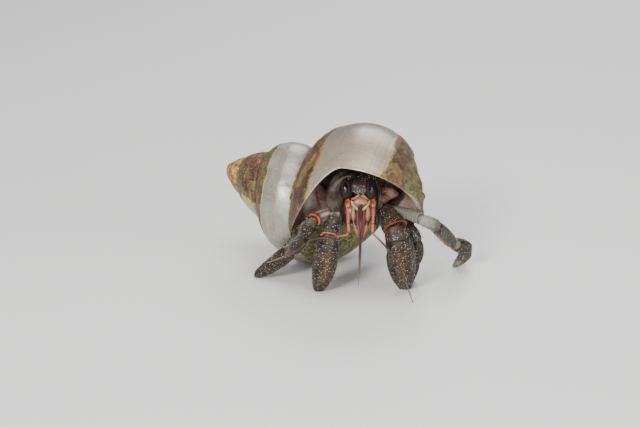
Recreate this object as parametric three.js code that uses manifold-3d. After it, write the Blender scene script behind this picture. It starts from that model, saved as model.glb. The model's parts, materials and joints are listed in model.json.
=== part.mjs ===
// A land hermit crab standing in a pearly turban shell, life size, in millimetres, +Z up.
// The crab looks along -Y. Its own right side is at -X, its own left side at +X.
// The joints of the limbs are given in a working frame whose origin lies under the mouth;
// the whole animal is moved at the end so that its origin is under the middle of its box.
import * as THREE from 'three';
import { mergeVertices } from 'three/addons/utils/BufferGeometryUtils.js';
import Module from 'manifold-3d';

const wasm = await Module();
wasm.setup();

// ---- driving dimensions (mm, radians unless named otherwise) ----
const TURN = 2 * Math.PI;
const DEGREE = Math.PI / 180;
const GAP = 0.25;               // clearance between neighbouring plates of a limb
const FINEST = 0.008;           // edges left shorter than this by a cut are closed up
const TO_BOX_MIDDLE = [-5.5, -11.6, 0];

const SHELL = {
  turns: 4.3,                   // whorls from the apex to the lip
  widthGrowth: 1.95,            // growth of the tube in one turn
  apexBluntness: 0.035,         // the first whorls are a little wider than the spiral
  lengthGrowth: 2.12,           // growth of the distance from the apex in one turn
  length: 35.27,                // from the apex to the middle of the mouth, along the axis
  reach: 10.5,                  // from the axis to the middle of the mouth
  halfAcross: 10.8,             // half width of the tube at the mouth, away from the axis
  halfAlong: 12.2,              // half width of the tube at the mouth, along the axis
  shoulder: 0.17,               // swelling of the tube towards the whorl before it,
  shoulderAt: -2,               // where it is, round the tube,
  shoulderSpread: 0.55,         // and how far it spreads
  baseFlattening: 0.05,
  slant: 0.03,                  // the outer side lies a little nearer the apex
  spireEvenness: 0.72,          // how nearly the older whorls form one even cone,
  evenTurn: -1.0,               // from here towards the apex,
  evenFade: 0.5,
  evenFrom: -1.75,              // and between these places round the tube,
  evenTo: 0.9,
  evenEdge: 0.55,               // fading out over this angle
  wall: 1.0,                    // thickness of the wall, well inside
  lipWall: 0.55,                // and at the lip
  wallTaper: 1 / 6,             // turns over which it thins
  tipRadius: 1.8,               // the blunt first whorl
  columella: 1.6,               // radius of the pillar beside the hollow,
  pillarShare: 0.62,            // and its share of the whorls' reach further in
  cavityTurns: 0.62,            // how far the hollow runs in from the mouth
  lipAngle: 46.15 * DEGREE,
  lipLean: -0.08,
  lipReach: 1.0,                // how far the upper lip runs on along the suture,
  upperLipStart: 0.2,           // from here round the tube
  upperLipRise: 1.25,
  upperLipEnd: 3.1,             // to here
  upperLipFall: 0.9,
  lipFade: 2,                   // radians behind the lip over which both die out
  apex: [-19.53, 26.85, 17.77],
  axisTurn: -27.3 * DEGREE,     // the axis runs forward to the animal's left
  axisDip: 9.41 * DEGREE,       // and slopes down towards the mouth
  sides: 22,                    // facets round the tube, and in one turn of it
  stepsPerTurn: 15,
  finestTurn: -2.35,            // older whorls are small and have fewer facets
  smallSides: 12,
  smallSteps: 11,
};

// ---- materials ----
const finish = (color, roughness, metalness = 0) =>
  new THREE.MeshStandardMaterial({ color, roughness, metalness });
const PEARL = finish(0xd9cfc4, 0.28, 0.15);
const CARAPACE = finish(0x3a2a20, 0.45);
const FLANK = finish(0x8d7b6c, 0.5);
const FLESH = finish(0xb98a78, 0.6);
const LIMB = finish(0x4a4039, 0.55);
const ORANGE = finish(0xd9652f, 0.4);
const MOUTH = finish(0xe3b59a, 0.4);
const CORNEA = finish(0x120c18, 0.08);
const FEELER = finish(0x5a3020, 0.45);

// ---- solids: closed meshes made from three.js geometries ----
function toSolid(geometry) {
  const bare = geometry.clone();
  bare.deleteAttribute('normal');
  bare.deleteAttribute('uv');
  const merged = mergeVertices(bare, 1e-5);
  const index = merged.index.array;
  const place = merged.attributes.position.array;
  const triangles = [];
  let volume = 0;
  const [a, b, c] = [new THREE.Vector3(), new THREE.Vector3(), new THREE.Vector3()];
  for (let i = 0; i < index.length; i += 3) {
    const [p, q, r] = [index[i], index[i + 1], index[i + 2]];
    if (p === q || q === r || r === p) continue;
    triangles.push(p, q, r);
    a.fromArray(place, 3 * p);
    b.fromArray(place, 3 * q);
    c.fromArray(place, 3 * r);
    volume += a.dot(b.cross(c));
  }
  if (volume < 0) triangles.reverse();
  return new wasm.Manifold(new wasm.Mesh({
    numProp: 3,
    vertProperties: new Float32Array(place),
    triVerts: new Uint32Array(triangles),
  }));
}

function toGeometry(solid) {
  const { vertProperties, triVerts } = solid.setTolerance(FINEST).getMesh();
  const geometry = new THREE.BufferGeometry();
  geometry.setAttribute('position', new THREE.BufferAttribute(vertProperties, 3));
  geometry.setIndex(new THREE.BufferAttribute(triVerts, 1));
  geometry.computeVertexNormals();
  return geometry;
}

// Moves every vertex of a geometry to place(vertex).
function reshape(geometry, place) {
  const position = geometry.attributes.position;
  const vertex = new THREE.Vector3();
  for (let i = 0; i < position.count; i += 1) {
    place(vertex.fromBufferAttribute(position, i));
    position.setXYZ(i, vertex.x, vertex.y, vertex.z);
  }
  return geometry;
}

// Everything that stands on the ground is cut flat at its level.
const floor = toSolid(new THREE.BoxGeometry(200, 200, 20).translate(0, 0, -10));

// ---- the shell: one tube wound into a right-handed turban ----
const axis = new THREE.Vector3(
  Math.cos(SHELL.axisTurn) * Math.cos(SHELL.axisDip),
  Math.sin(SHELL.axisTurn) * Math.cos(SHELL.axisDip),
  -Math.sin(SHELL.axisDip),
);
const upright = new THREE.Vector3(0, 0, 1).projectOnPlane(axis).normalize();
const sideways = axis.clone().cross(upright);

function smooth(x) {
  const t = Math.min(Math.max(x, 0), 1);
  return t * t * (3 - 2 * t);
}

const growth = (turn) =>
  Math.exp(Math.log(SHELL.widthGrowth) * turn + SHELL.apexBluntness * turn * turn);

// The cone that touches every whorl: its radius at a distance along the axis.
function coneOut(along) {
  const turn = Math.log(Math.max(along, SHELL.tipRadius / 4) / SHELL.length)
    / Math.log(SHELL.lengthGrowth);
  return growth(turn) * (SHELL.reach + SHELL.halfAcross);
}

const evenness = (turn, round) => SHELL.spireEvenness
  * smooth((SHELL.evenTurn - turn) / SHELL.evenFade)
  * smooth((round - SHELL.evenFrom) / SHELL.evenEdge)
  * smooth((SHELL.evenTo - round) / SHELL.evenEdge);

// turn: 0 at the lip, negative towards the apex. round: 0 on the outer side of the tube,
// a quarter turn towards the base, minus a quarter towards the apex. fill: 0 middle, 1 surface.
function shellPoint(turn, round, fill, into) {
  const size = growth(turn);
  const [cos, sin] = [Math.cos(round), Math.sin(round)];
  const offShoulder = round - SHELL.shoulderAt;
  const towardsOlder = Math.atan2(Math.sin(offShoulder), Math.cos(offShoulder))
    / SHELL.shoulderSpread;
  const bulge = fill * (1 + SHELL.shoulder * Math.exp(-towardsOlder * towardsOlder));
  const along = SHELL.length * SHELL.lengthGrowth ** turn
    + size * SHELL.halfAlong * bulge * sin * (1 - SHELL.baseFlattening * sin)
    - size * SHELL.slant * SHELL.halfAcross * bulge * cos;
  const whorlOut = size * (SHELL.reach + SHELL.halfAcross * bulge * cos);
  const out = whorlOut + (coneOut(along) - whorlOut) * fill * evenness(turn, round);
  const upperLip = round < 0
    ? smooth((-round - SHELL.upperLipStart) / SHELL.upperLipRise)
      * smooth((round + SHELL.upperLipEnd) / SHELL.upperLipFall)
    : 0;
  const nearLip = Math.min(Math.max(1 + turn * TURN / SHELL.lipFade, 0), 1);
  const lean = (SHELL.lipLean * sin + SHELL.lipReach * upperLip) * nearLip * fill;
  const angle = SHELL.lipAngle - (turn * TURN + lean);
  into.fromArray(SHELL.apex)
    .addScaledVector(axis, along)
    .addScaledVector(sideways, out * Math.cos(angle))
    .addScaledVector(upright, out * Math.sin(angle));
  return into;
}

const nothing = () => 0;
const wall = (turn) =>
  SHELL.wall + (SHELL.lipWall - SHELL.wall) * smooth(1 + turn / SHELL.wallTaper);

// A closed length of the tube; thin(turn) is taken off its surface all round.
function tubeLength(from, to, steps, sides, thin) {
  const geometry = new THREE.CylinderGeometry(1, 1, 1, sides, steps);
  return reshape(geometry, (vertex) => {
    const turn = from + (to - from) * (vertex.y + 0.5);
    const round = Math.atan2(vertex.x, vertex.z);
    const radius = Math.hypot(vertex.x, vertex.z);
    const fill = radius * (1 - thin(turn) / (growth(turn) * SHELL.halfAcross));
    shellPoint(turn, round, fill, vertex);
  });
}

function tube(from, to, thin, sides, stepsPerTurn) {
  const pieces = Math.max(1, Math.round((to - from) * 4));
  const stride = (to - from) / pieces;
  const steps = Math.max(2, Math.round(stride * stepsPerTurn));
  let solid = null;
  for (let i = 0; i < pieces; i += 1) {
    const start = from + i * stride;
    const length = toSolid(tubeLength(start, start + stride, steps, sides, thin));
    solid = solid ? solid.add(length) : length;
  }
  return solid;
}

// The pillar that the whorls wind round, so that no sealed gap is left between them.
function pillar() {
  const turns = [-3.9, -3.6, -3, -2.4, -1.8, -1.2, -0.8, -0.4, -0.1];
  const profile = turns.map((turn) => {
    const radius = turn < -1
      ? SHELL.pillarShare * SHELL.reach * growth(turn)
      : SHELL.columella;
    return new THREE.Vector2(radius, SHELL.length * SHELL.lengthGrowth ** turn);
  });
  profile.unshift(new THREE.Vector2(0, profile[0].y));
  profile.push(new THREE.Vector2(0, profile.at(-1).y));
  const geometry = new THREE.LatheGeometry(profile, SHELL.smallSides);
  return toSolid(reshape(geometry, (vertex) => {
    const [x, along, z] = [vertex.x, vertex.y, vertex.z];
    vertex.fromArray(SHELL.apex)
      .addScaledVector(axis, along)
      .addScaledVector(sideways, x)
      .addScaledVector(upright, z);
  }));
}

function makeShell() {
  const { finestTurn, sides, stepsPerTurn, smallSides, smallSteps } = SHELL;
  const tip = new THREE.SphereGeometry(SHELL.tipRadius, smallSides, 8)
    .translate(...new THREE.Vector3(...SHELL.apex).addScaledVector(axis, SHELL.tipRadius));
  const spire = tube(-SHELL.turns, finestTurn, nothing, smallSides, smallSteps)
    .add(pillar())
    .add(toSolid(tip));
  const cavityEnd = -SHELL.cavityTurns;
  const behindCavity = cavityEnd - 0.1;
  const overlap = 0.03;
  const pastLip = 0.012;
  const older = tube(finestTurn - overlap, behindCavity, nothing, sides, stepsPerTurn).add(spire);
  const last = tube(behindCavity, 0, nothing, sides, stepsPerTurn);
  const whorls = older.add(last);
  const hollow = tube(cavityEnd, pastLip, wall, sides, stepsPerTurn).subtract(older);
  return whorls.subtract(hollow).subtract(floor);
}

// ---- limbs and body: lathed profiles bent along a curve ----
// A profile lists [place from 0 to 1, radius from 0 to 1].
const PROFILE = {
  plate: [[0, 0.7], [0.1, 0.9], [0.45, 1], [0.85, 0.95], [1, 0.75]],
  stalk: [[0, 0.6], [0.25, 0.8], [0.6, 0.98], [0.8, 1], [1, 0.78]],
  widening: [[0, 0.4], [0.15, 0.6], [0.5, 0.8], [0.88, 1], [1, 0.85]],
  palm: [[0, 0.7], [0.1, 0.92], [0.32, 1], [0.55, 0.93], [0.78, 0.68], [0.93, 0.44], [1, 0.16]],
  finger: [[0, 0.6], [0.12, 0.95], [0.35, 1], [0.7, 0.8], [0.92, 0.52], [1, 0.2]],
  shield: [[0, 0], [0.04, 0.36], [0.18, 0.58], [0.42, 0.88], [0.62, 1], [0.84, 0.8],
    [0.95, 0.5], [1, 0]],
  egg: [[0, 0], [0.07, 0.5], [0.25, 0.85], [0.5, 1], [0.75, 0.85], [0.93, 0.5], [1, 0]],
  cap: [[0, 0.8], [0.25, 1], [0.6, 0.86], [0.88, 0.5], [1, 0]],
  feeler: [[0, 1], [0.2, 1], [0.4, 1], [0.6, 1], [0.8, 1], [1, 1]],
};

// spec: points of the middle line, half widths wide and deep, profile, sides, face, the
// direction that wide is measured across, and stands, for a tip that rests on the ground.
function limbGeometry(spec, grow = 0) {
  const points = spec.points.map((p) => new THREE.Vector3(...p));
  const curve = points.length > 2
    ? new THREE.CatmullRomCurve3(points)
    : new THREE.LineCurve3(points[0], points[1]);
  const length = curve.getLength();
  const profile = spec.profile.map(([s, r]) => new THREE.Vector2(r, s));
  if (profile[0].x > 0) profile.unshift(new THREE.Vector2(0, 0));
  if (profile.at(-1).x > 0) profile.push(new THREE.Vector2(0, 1));
  const geometry = new THREE.LatheGeometry(profile, spec.sides ?? 8);
  const face = new THREE.Vector3(...(spec.face ?? [1, 0, 0]));
  const [middle, forward, wide, deep] = [0, 1, 2, 3].map(() => new THREE.Vector3());
  return reshape(geometry, (vertex) => {
    const [x, s, z] = [vertex.x, vertex.y, vertex.z];
    curve.getPointAt(s, middle);
    curve.getTangentAt(s, forward);
    wide.copy(face).projectOnPlane(forward).normalize();
    deep.copy(wide).cross(forward);
    vertex.copy(middle)
      .addScaledVector(forward, grow * (2 * s - 1))
      .addScaledVector(wide, x * (spec.wide + grow))
      .addScaledVector(deep, z * (spec.deep + grow));
  });
}

const parts = new THREE.Group();
const specs = new Map();

function addMesh(name, solid, material) {
  const mesh = new THREE.Mesh(toGeometry(solid), material);
  mesh.name = name;
  parts.add(mesh);
}

// Adds a named piece; behind names pieces already made that it gives way to, with a gap.
function addPiece(name, material, spec, behind = []) {
  let solid = toSolid(limbGeometry(spec));
  for (const other of behind) {
    solid = solid.subtract(toSolid(limbGeometry(specs.get(other), GAP)));
  }
  specs.set(name, spec);
  addMesh(name, spec.stands ? solid.subtract(floor) : solid, material);
}

// ---- body ----
function makeBody() {
  addPiece('shield', CARAPACE, {
    points: [[7.9, 0.1, 20.9], [8.0, 1.5, 22.4], [8.5, 4.4, 23.1], [9.3, 8.3, 23.5]],
    wide: 3.9, deep: 1.6, profile: PROFILE.shield, sides: 14,
  });
  addPiece('thorax', FLESH, {
    points: [[8.2, 1.9, 17.2], [8.7, 5.6, 17.2], [9.6, 10.6, 18.0]],
    wide: 3.0, deep: 2.8, profile: PROFILE.egg, sides: 12,
  }, ['shield']);
  addPiece('carapace_rear', FLANK, {
    points: [[9.4, 8.0, 22.6], [9.9, 10.6, 22.4], [10.2, 13.6, 21.4]],
    wide: 4.2, deep: 2.2, profile: PROFILE.egg, sides: 12,
  }, ['shield', 'thorax']);
  addPiece('abdomen', FLESH, {
    points: [[9.9, 12.2, 19.0], [9.7, 17.8, 18.6], [8.6, 20.9, 15.6], [6.4, 21.8, 11.8],
      [4.2, 21.2, 9.6]],
    wide: 4.4, deep: 4.4, sides: 14,
    profile: [[0, 0], [0.06, 0.5], [0.25, 0.95], [0.45, 1], [0.7, 0.75], [0.92, 0.4], [1, 0]],
  }, ['thorax', 'carapace_rear']);
  for (const [side, x, top] of [['right', 4.45, 5.3], ['left', 11.9, 11.3]]) {
    addPiece(`flank_${side}`, FLANK, {
      points: [[top, 4.6, 23.4], [x, 4.0, 21.0], [x, 4.2, 17.5], [x, 4.6, 14.6]],
      wide: 0.52, deep: 2.5, profile: PROFILE.egg, sides: 10,
    }, ['shield', 'thorax']);
  }
}

// ---- head ----
function makeHead() {
  const middle = 8.0;
  const eyeMiddle = 7.65;       // the eyes look a little to the animal's right
  addPiece('mouth_frame', MOUTH, {
    points: [[middle, 0.9, 19.9], [middle, 0.9, 18.0], [middle, 1.3, 16.2]],
    wide: 1.7, deep: 0.9, profile: PROFILE.egg, sides: 10,
  }, ['thorax', 'shield']);
  for (const [side, hand] of [['right', -1], ['left', 1]]) {
    const x = (distance) => middle + hand * distance;
    const eye = (distance) => eyeMiddle + hand * distance;
    addPiece(`eyestalk_${side}`, CARAPACE, {
      points: [[eye(1.5), 3.2, 20.5], [eye(2.2), 1.6, 21.4], [eye(2.55), -0.1, 22.2]],
      wide: 1.15, deep: 1.9, profile: PROFILE.stalk, sides: 12,
    }, ['shield', 'thorax', 'mouth_frame', `flank_${side}`]);
    addPiece(`cornea_${side}`, CORNEA, {
      points: [[eye(2.58), -0.33, 22.33], [eye(2.72), -1.2, 22.75]],
      wide: 0.8, deep: 1.4, profile: PROFILE.cap, sides: 12,
    });
    addPiece(`antenna_base_${side}`, ORANGE, {
      points: [[x(2.45), 0.1, 19.7], [x(2.5), -1.3, 18.6], [x(2.4), -4.3, 14.5]],
      wide: 0.55, deep: 0.6, profile: PROFILE.plate, sides: 8,
    }, [`flank_${side}`]);
    addPiece(`antennule_${side}`, FEELER, {
      points: [[x(0.42), -0.4, 19.4], [x(0.38), -3.2, 16.6], [x(0.34), -4.8, 13.4],
        [x(0.3) - 0.2, -6.9 + hand * 0.4, 5.2 + hand * 0.9]],
      wide: 0.26, deep: 0.26, profile: PROFILE.feeler, sides: 6,
    }, ['mouth_frame']);
    addPiece(`maxilliped_${side}`, MOUTH, {
      points: [[x(1.6), 0.2, 17.8], [x(1.35), -1.9, 15.7], [x(0.55), -3.3, 13.0]],
      wide: 0.5, deep: 0.6, profile: PROFILE.plate, sides: 8,
    }, ['mouth_frame', 'thorax', `antennule_${side}`]);
  }
  addPiece('antenna_right', FEELER, {
    points: [[5.4, -4.7, 14.1], [1.4, -5.6, 13.9], [-1.8, -6.0, 13.3], [-5.4, -6.3, 10.8],
      [-10.5, -6.0, 8.6]],
    wide: 0.26, deep: 0.26, profile: PROFILE.feeler, sides: 6, face: [0, 1, 0],
  }, ['antenna_base_right']);
  addPiece('antenna_left', FEELER, {
    points: [[10.6, -4.6, 14.2], [13.2, -6.4, 11.9], [16.4, -6.6, 6.5], [18.6, -5.9, -0.1]],
    wide: 0.26, deep: 0.26, profile: PROFILE.feeler, sides: 6, face: [0, 1, 0], stands: true,
  }, ['antenna_base_left']);
}

// ---- limbs: each is five pieces from the body to its tip ----
function makeLimb(name, pieces) {
  let before = null;
  for (const [piece, spec, also] of pieces) {
    const behind = [...(before ? [before] : ['thorax']), ...(also ?? [])];
    before = `${name}_${piece}`;
    addPiece(before, spec.material ?? LIMB, spec, behind);
  }
}

function makeClaws() {
  makeLimb('claw_right', [
    ['hip', { points: [[6.2, 4.6, 13.4], [3.9, 4.4, 15.9]], wide: 1.1, deep: 1.0,
      profile: PROFILE.plate, face: [0, 1, 0] }, ['flank_right']],
    ['merus', { points: [[3.4, 4.1, 16.5], [2.9, 1.0, 15.7], [2.2, -1.6, 13.6]], wide: 1.7,
      deep: 1.3, profile: PROFILE.widening }, ['flank_right']],
    ['carpus', { points: [[2.2, -2.0, 13.2], [1.8, -2.2, 11.4]], wide: 2.1, deep: 1.6,
      profile: PROFILE.plate }],
    ['finger', { points: [[2.9, -1.6, 8.2], [1.9, -1.0, 4.4], [0.0, 1.0, -0.25]], wide: 1.0,
      deep: 1.2, profile: PROFILE.finger, stands: true }],
    ['palm', { points: [[1.7, -2.0, 11.2], [0.9, -1.4, 6.6], [-0.6, 1.0, -0.3]], wide: 2.4,
      deep: 2.1, profile: PROFILE.palm, stands: true }, ['claw_right_carpus']],
  ]);
  makeLimb('claw_left', [
    ['hip', { points: [[10.6, 4.6, 13.4], [12.8, 4.4, 16.2]], wide: 1.2, deep: 1.0,
      profile: PROFILE.plate, face: [0, 1, 0] }, ['flank_left']],
    ['merus', { points: [[12.9, 4.2, 16.9], [13.9, 1.2, 16.5], [15.0, -1.2, 15.0]], wide: 2.3,
      deep: 1.6, profile: PROFILE.widening }, ['flank_left']],
    ['carpus', { points: [[15.1, -1.7, 14.6], [15.5, -1.8, 12.4]], wide: 2.6, deep: 2.2,
      profile: PROFILE.plate }],
    ['finger', { points: [[14.2, -1.2, 9.4], [14.9, -0.4, 5.2], [16.9, 2.4, -0.25]], wide: 1.15,
      deep: 1.5, profile: PROFILE.finger, stands: true }],
    ['palm', { points: [[15.6, -1.5, 12.2], [16.3, -0.5, 7.2], [17.6, 2.6, -0.3]], wide: 2.5,
      deep: 2.9, profile: PROFILE.palm, stands: true }, ['claw_left_carpus']],
  ]);
}

function makeWalkingLegs() {
  makeLimb('leg2_right', [
    ['hip', { points: [[6.0, 6.8, 13.6], [3.9, 6.4, 14.6]], wide: 1.0, deep: 1.0,
      profile: PROFILE.plate, face: [0, 1, 0] }, ['claw_right_hip']],
    ['merus', { points: [[3.6, 6.1, 15.0], [1.6, 3.2, 15.9], [-0.8, 0.9, 15.5]], wide: 1.1,
      deep: 1.5, profile: PROFILE.widening, face: [0, 0, 1] }, ['claw_right_merus', 'claw_right_hip']],
    ['carpus', { points: [[-1.2, 0.6, 15.2], [-2.6, 1.3, 13.2], [-3.4, 2.0, 11.6]], wide: 1.6,
      deep: 1.4, profile: PROFILE.plate }],
    ['propodus', { points: [[-3.5, 2.1, 11.4], [-4.8, 3.4, 9.0], [-5.9, 5.0, 7.3]], wide: 1.6,
      deep: 1.4, profile: PROFILE.plate }],
    ['dactyl', { points: [[-6.0, 5.2, 7.0], [-9.4, 7.0, 3.6], [-13.6, 8.6, 0.1]], wide: 1.5,
      deep: 1.35, profile: PROFILE.finger, stands: true }],
  ]);
  makeLimb('leg3_right', [
    ['hip', { points: [[6.2, 8.8, 14.4], [4.2, 8.8, 14.4]], wide: 0.9, deep: 0.9,
      profile: PROFILE.plate, face: [0, 1, 0] }],
    ['merus', { points: [[3.9, 8.6, 14.2], [0.6, 6.2, 14.0], [-2.2, 4.3, 13.6]], wide: 1.0,
      deep: 1.1, profile: PROFILE.widening, face: [0, 0, 1] }, ['leg2_right_merus']],
    ['carpus', { points: [[-2.6, 4.2, 13.2], [-4.3, 5.2, 10.4]], wide: 1.0, deep: 1.0,
      profile: PROFILE.plate }, ['leg2_right_carpus']],
    ['propodus', { points: [[-4.4, 5.3, 10.2], [-6.0, 6.4, 8.0], [-7.6, 7.6, 5.8]], wide: 0.95,
      deep: 0.9, profile: PROFILE.plate }, ['leg2_right_propodus', 'leg2_right_dactyl']],
    ['dactyl', { points: [[-7.8, 7.8, 5.5], [-9.6, 9.8, 3.0], [-11.6, 12.0, -0.1]], wide: 0.95,
      deep: 0.9, profile: PROFILE.finger, stands: true }, ['leg2_right_dactyl']],
  ]);
  makeLimb('leg2_left', [
    ['hip', { points: [[10.8, 6.8, 13.6], [12.6, 6.4, 13.9]], wide: 1.0, deep: 1.0,
      profile: PROFILE.plate, face: [0, 1, 0] }, ['claw_left_hip']],
    ['merus', { points: [[12.9, 6.2, 13.9], [15.8, 4.2, 13.9], [18.0, 2.6, 13.4]], wide: 1.1,
      deep: 1.1, profile: PROFILE.widening, face: [0, 0, 1] }, ['claw_left_merus']],
    ['carpus', { points: [[18.4, 2.4, 13.1], [19.7, 1.7, 10.3]], wide: 1.2, deep: 1.3,
      profile: PROFILE.plate }, ['claw_left_palm']],
    ['propodus', { points: [[19.8, 1.8, 10.0], [20.0, 2.4, 7.6], [19.5, 3.9, 5.2]], wide: 1.1,
      deep: 1.3, profile: PROFILE.plate }, ['claw_left_palm']],
    ['dactyl', { points: [[19.5, 4.1, 5.0], [19.3, 5.6, 2.6], [18.9, 6.8, -0.2]], wide: 1.0,
      deep: 1.1, profile: PROFILE.finger, stands: true }, ['claw_left_palm']],
  ]);
  makeLimb('leg3_left', [
    ['hip', { points: [[10.8, 8.8, 14.4], [12.6, 7.4, 15.4]], wide: 0.9, deep: 0.9,
      profile: PROFILE.plate, face: [0, 1, 0] }, ['leg2_left_hip']],
    ['merus', { points: [[13.0, 6.6, 15.6], [16.2, 1.2, 16.9], [19.7, -2.2, 16.7]], wide: 1.0,
      deep: 1.0, profile: PROFILE.widening, face: [0, 0, 1] },
    ['claw_left_merus', 'claw_left_hip', 'flank_left']],
    ['carpus', { points: [[20.1, -2.4, 16.4], [22.4, -0.9, 15.1], [23.3, 1.6, 13.6]], wide: 1.25,
      deep: 1.25, profile: PROFILE.plate, face: [0, 0, 1] }],
    ['propodus', { points: [[23.5, 2.0, 13.3], [25.6, 5.8, 10.2], [27.3, 9.4, 7.3]], wide: 1.45,
      deep: 1.2, profile: PROFILE.plate, face: [0, 0, 1] }],
    ['dactyl', { points: [[27.6, 9.9, 6.9], [30.2, 12.2, 5.0], [30.2, 13.9, 2.6],
      [28.1, 14.6, -0.15]], wide: 1.3, deep: 1.15, profile: PROFILE.finger, stands: true }],
  ]);
}

// The short last legs hold the shell from inside.
function makeShortLegs() {
  for (const [side, hand] of [['right', -1], ['left', 1]]) {
    const x = (distance) => 9.2 + hand * distance;
    addPiece(`leg4_${side}`, FLESH, {
      points: [[x(3.2), 9.8, 17.0], [x(4.8), 10.4, 17.6], [x(5.6), 9.2, 19.4]],
      wide: 0.7, deep: 0.7, profile: PROFILE.plate, sides: 8,
    }, ['thorax', 'carapace_rear', `leg3_${side}_hip`]);
    addPiece(`leg5_${side}`, FLESH, {
      points: [[x(2.8), 11.4, 16.6], [x(4.7), 12.4, 16.6], [x(5.5), 13.0, 18.6]],
      wide: 0.5, deep: 0.5, profile: PROFILE.plate, sides: 8,
    }, ['thorax', 'carapace_rear', 'abdomen', `leg4_${side}`]);
  }
}

addMesh('shell', makeShell(), PEARL);
makeBody();
makeHead();
makeClaws();
makeWalkingLegs();
makeShortLegs();
parts.position.set(...TO_BOX_MIDDLE);

export default parts;
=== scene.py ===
import json
import math
import random

import bmesh
import bpy
import numpy as np
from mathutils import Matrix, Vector, noise

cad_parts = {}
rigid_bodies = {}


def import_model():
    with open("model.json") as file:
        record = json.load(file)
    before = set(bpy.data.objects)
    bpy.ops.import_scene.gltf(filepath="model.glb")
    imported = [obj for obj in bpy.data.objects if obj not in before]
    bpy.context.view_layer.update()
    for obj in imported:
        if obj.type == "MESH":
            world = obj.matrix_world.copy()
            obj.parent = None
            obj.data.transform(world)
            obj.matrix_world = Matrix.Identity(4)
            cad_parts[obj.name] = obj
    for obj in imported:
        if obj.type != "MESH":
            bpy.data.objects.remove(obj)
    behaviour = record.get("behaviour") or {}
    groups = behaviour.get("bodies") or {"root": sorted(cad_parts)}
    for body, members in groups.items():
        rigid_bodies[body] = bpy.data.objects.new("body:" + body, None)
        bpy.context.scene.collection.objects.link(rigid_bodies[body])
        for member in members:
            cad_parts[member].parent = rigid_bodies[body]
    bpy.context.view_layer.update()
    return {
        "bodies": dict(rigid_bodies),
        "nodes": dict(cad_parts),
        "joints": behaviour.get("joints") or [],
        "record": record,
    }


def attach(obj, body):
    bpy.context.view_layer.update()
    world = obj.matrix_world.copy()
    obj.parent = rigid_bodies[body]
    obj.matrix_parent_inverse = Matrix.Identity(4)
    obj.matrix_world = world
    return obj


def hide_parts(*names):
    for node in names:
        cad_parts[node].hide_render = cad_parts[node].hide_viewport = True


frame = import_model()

# A land hermit crab in a pearly turban shell. Points and curves are in millimetres in the
# animal's working frame, whose origin lies under the mouth; finish_piece moves them to the
# frame, in metres. The crab looks along -Y, its own right side is at -X.
MM = 0.001
TO_BOX_MIDDLE = Vector((-5.5, -11.6, 0.0))
TURN = 2 * math.pi
SIDES = (("right", -1), ("left", 1))
SEED = 7
chance = random.Random(SEED)


def rise(x, start, over):
    """0 up to start, and 1 from start + over on."""
    t = min(max((x - start) / over, 0.0), 1.0)
    return t * t * (3 - 2 * t)


def fall(x, end, over):
    """1 up to end - over, and 0 from end on."""
    return rise(-x, -end, over)


def between(x, low, high, soft):
    """1 where x lies from low to high, fading to 0 over soft on either side."""
    return rise(x, low - soft / 2, soft) * fall(x, high + soft / 2, soft)


# ---------------------------------------------------------------- finishes

def lay(tree, kind, inputs=None, **settings):
    """Adds a node to a tree. Its inputs are wires or plain values."""
    node = tree.nodes.new(kind)
    for key, value in settings.items():
        setattr(node, key, value)
    for key, value in (inputs or {}).items():
        if isinstance(value, Wire):
            tree.links.new(value.socket, node.inputs[key])
        else:
            node.inputs[key].default_value = value
    return node


def opaque(colour):
    return colour if isinstance(colour, Wire) else (*colour, 1.0)


class Wire:
    """What a node puts out. Sums, products, fades and mixes of it lay further nodes."""

    def __init__(self, node, output=0):
        self.socket = node.outputs[output]
        self.tree = node.id_data

    def maths(self, operation, other):
        return Wire(lay(self.tree, "ShaderNodeMath", {0: self, 1: other}, operation=operation))

    def __add__(self, other):
        return self.maths("ADD", other)

    def __sub__(self, other):
        return self.maths("SUBTRACT", other)

    def __mul__(self, other):
        return self.maths("MULTIPLY", other)

    def fade(self, low, high, to_low=0.0, to_high=1.0):
        limits = {"From Min": low, "From Max": high, "To Min": to_low, "To Max": to_high}
        return Wire(lay(self.tree, "ShaderNodeMapRange", {"Value": self, **limits},
                        interpolation_type="SMOOTHSTEP"))

    def mix(self, a, b):
        """Colour a where this is 0, and b where it is 1."""
        ends = {0: self, 6: opaque(a), 7: opaque(b)}
        return Wire(lay(self.tree, "ShaderNodeMix", ends, data_type="RGBA"), 2)

    def mottle(self, scale, detail=3.0, roughness=0.55, distortion=0.0):
        """Noise, read at this place."""
        look = {"Scale": scale, "Detail": detail, "Roughness": roughness, "Distortion": distortion}
        return Wire(lay(self.tree, "ShaderNodeTexNoise", {"Vector": self, **look}), "Fac")

    def coats(self, *coats):
        """This colour under coats of others: (mask, low, high, amount, colour)."""
        colour = self
        for mask, low, high, amount, coat in coats:
            colour = mask.fade(low, high, 0, amount).mix(colour, coat)
        return colour


class Finish:
    """A material while its nodes are being laid. Names of sockets have _ for a space."""

    def __init__(self, name, **constants):
        self.material = bpy.data.materials.new(name)
        self.material.use_nodes = True
        self.tree = self.material.node_tree
        self.shader = self.tree.nodes["Principled BSDF"]
        for socket, value in constants.items():
            self.shader.inputs[socket.replace("_", " ")].default_value = value

    def feed(self, **wires):
        for socket, wire in wires.items():
            self.tree.links.new(wire.socket, self.shader.inputs[socket.replace("_", " ")])

    def attribute(self, name):
        return Wire(lay(self.tree, "ShaderNodeAttribute", attribute_name=name), "Fac")

    def place(self):
        """Object coordinates in millimetres."""
        at = Wire(lay(self.tree, "ShaderNodeTexCoord"), "Object")
        return Wire(lay(self.tree, "ShaderNodeMapping", {"Vector": at, "Scale": [1 / MM] * 3}))

    def bump(self, height, distance, strength):
        relief = {"Height": height, "Strength": strength, "Distance": distance * MM}
        self.feed(Normal=Wire(lay(self.tree, "ShaderNodeBump", relief)))
        return self.material


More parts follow.
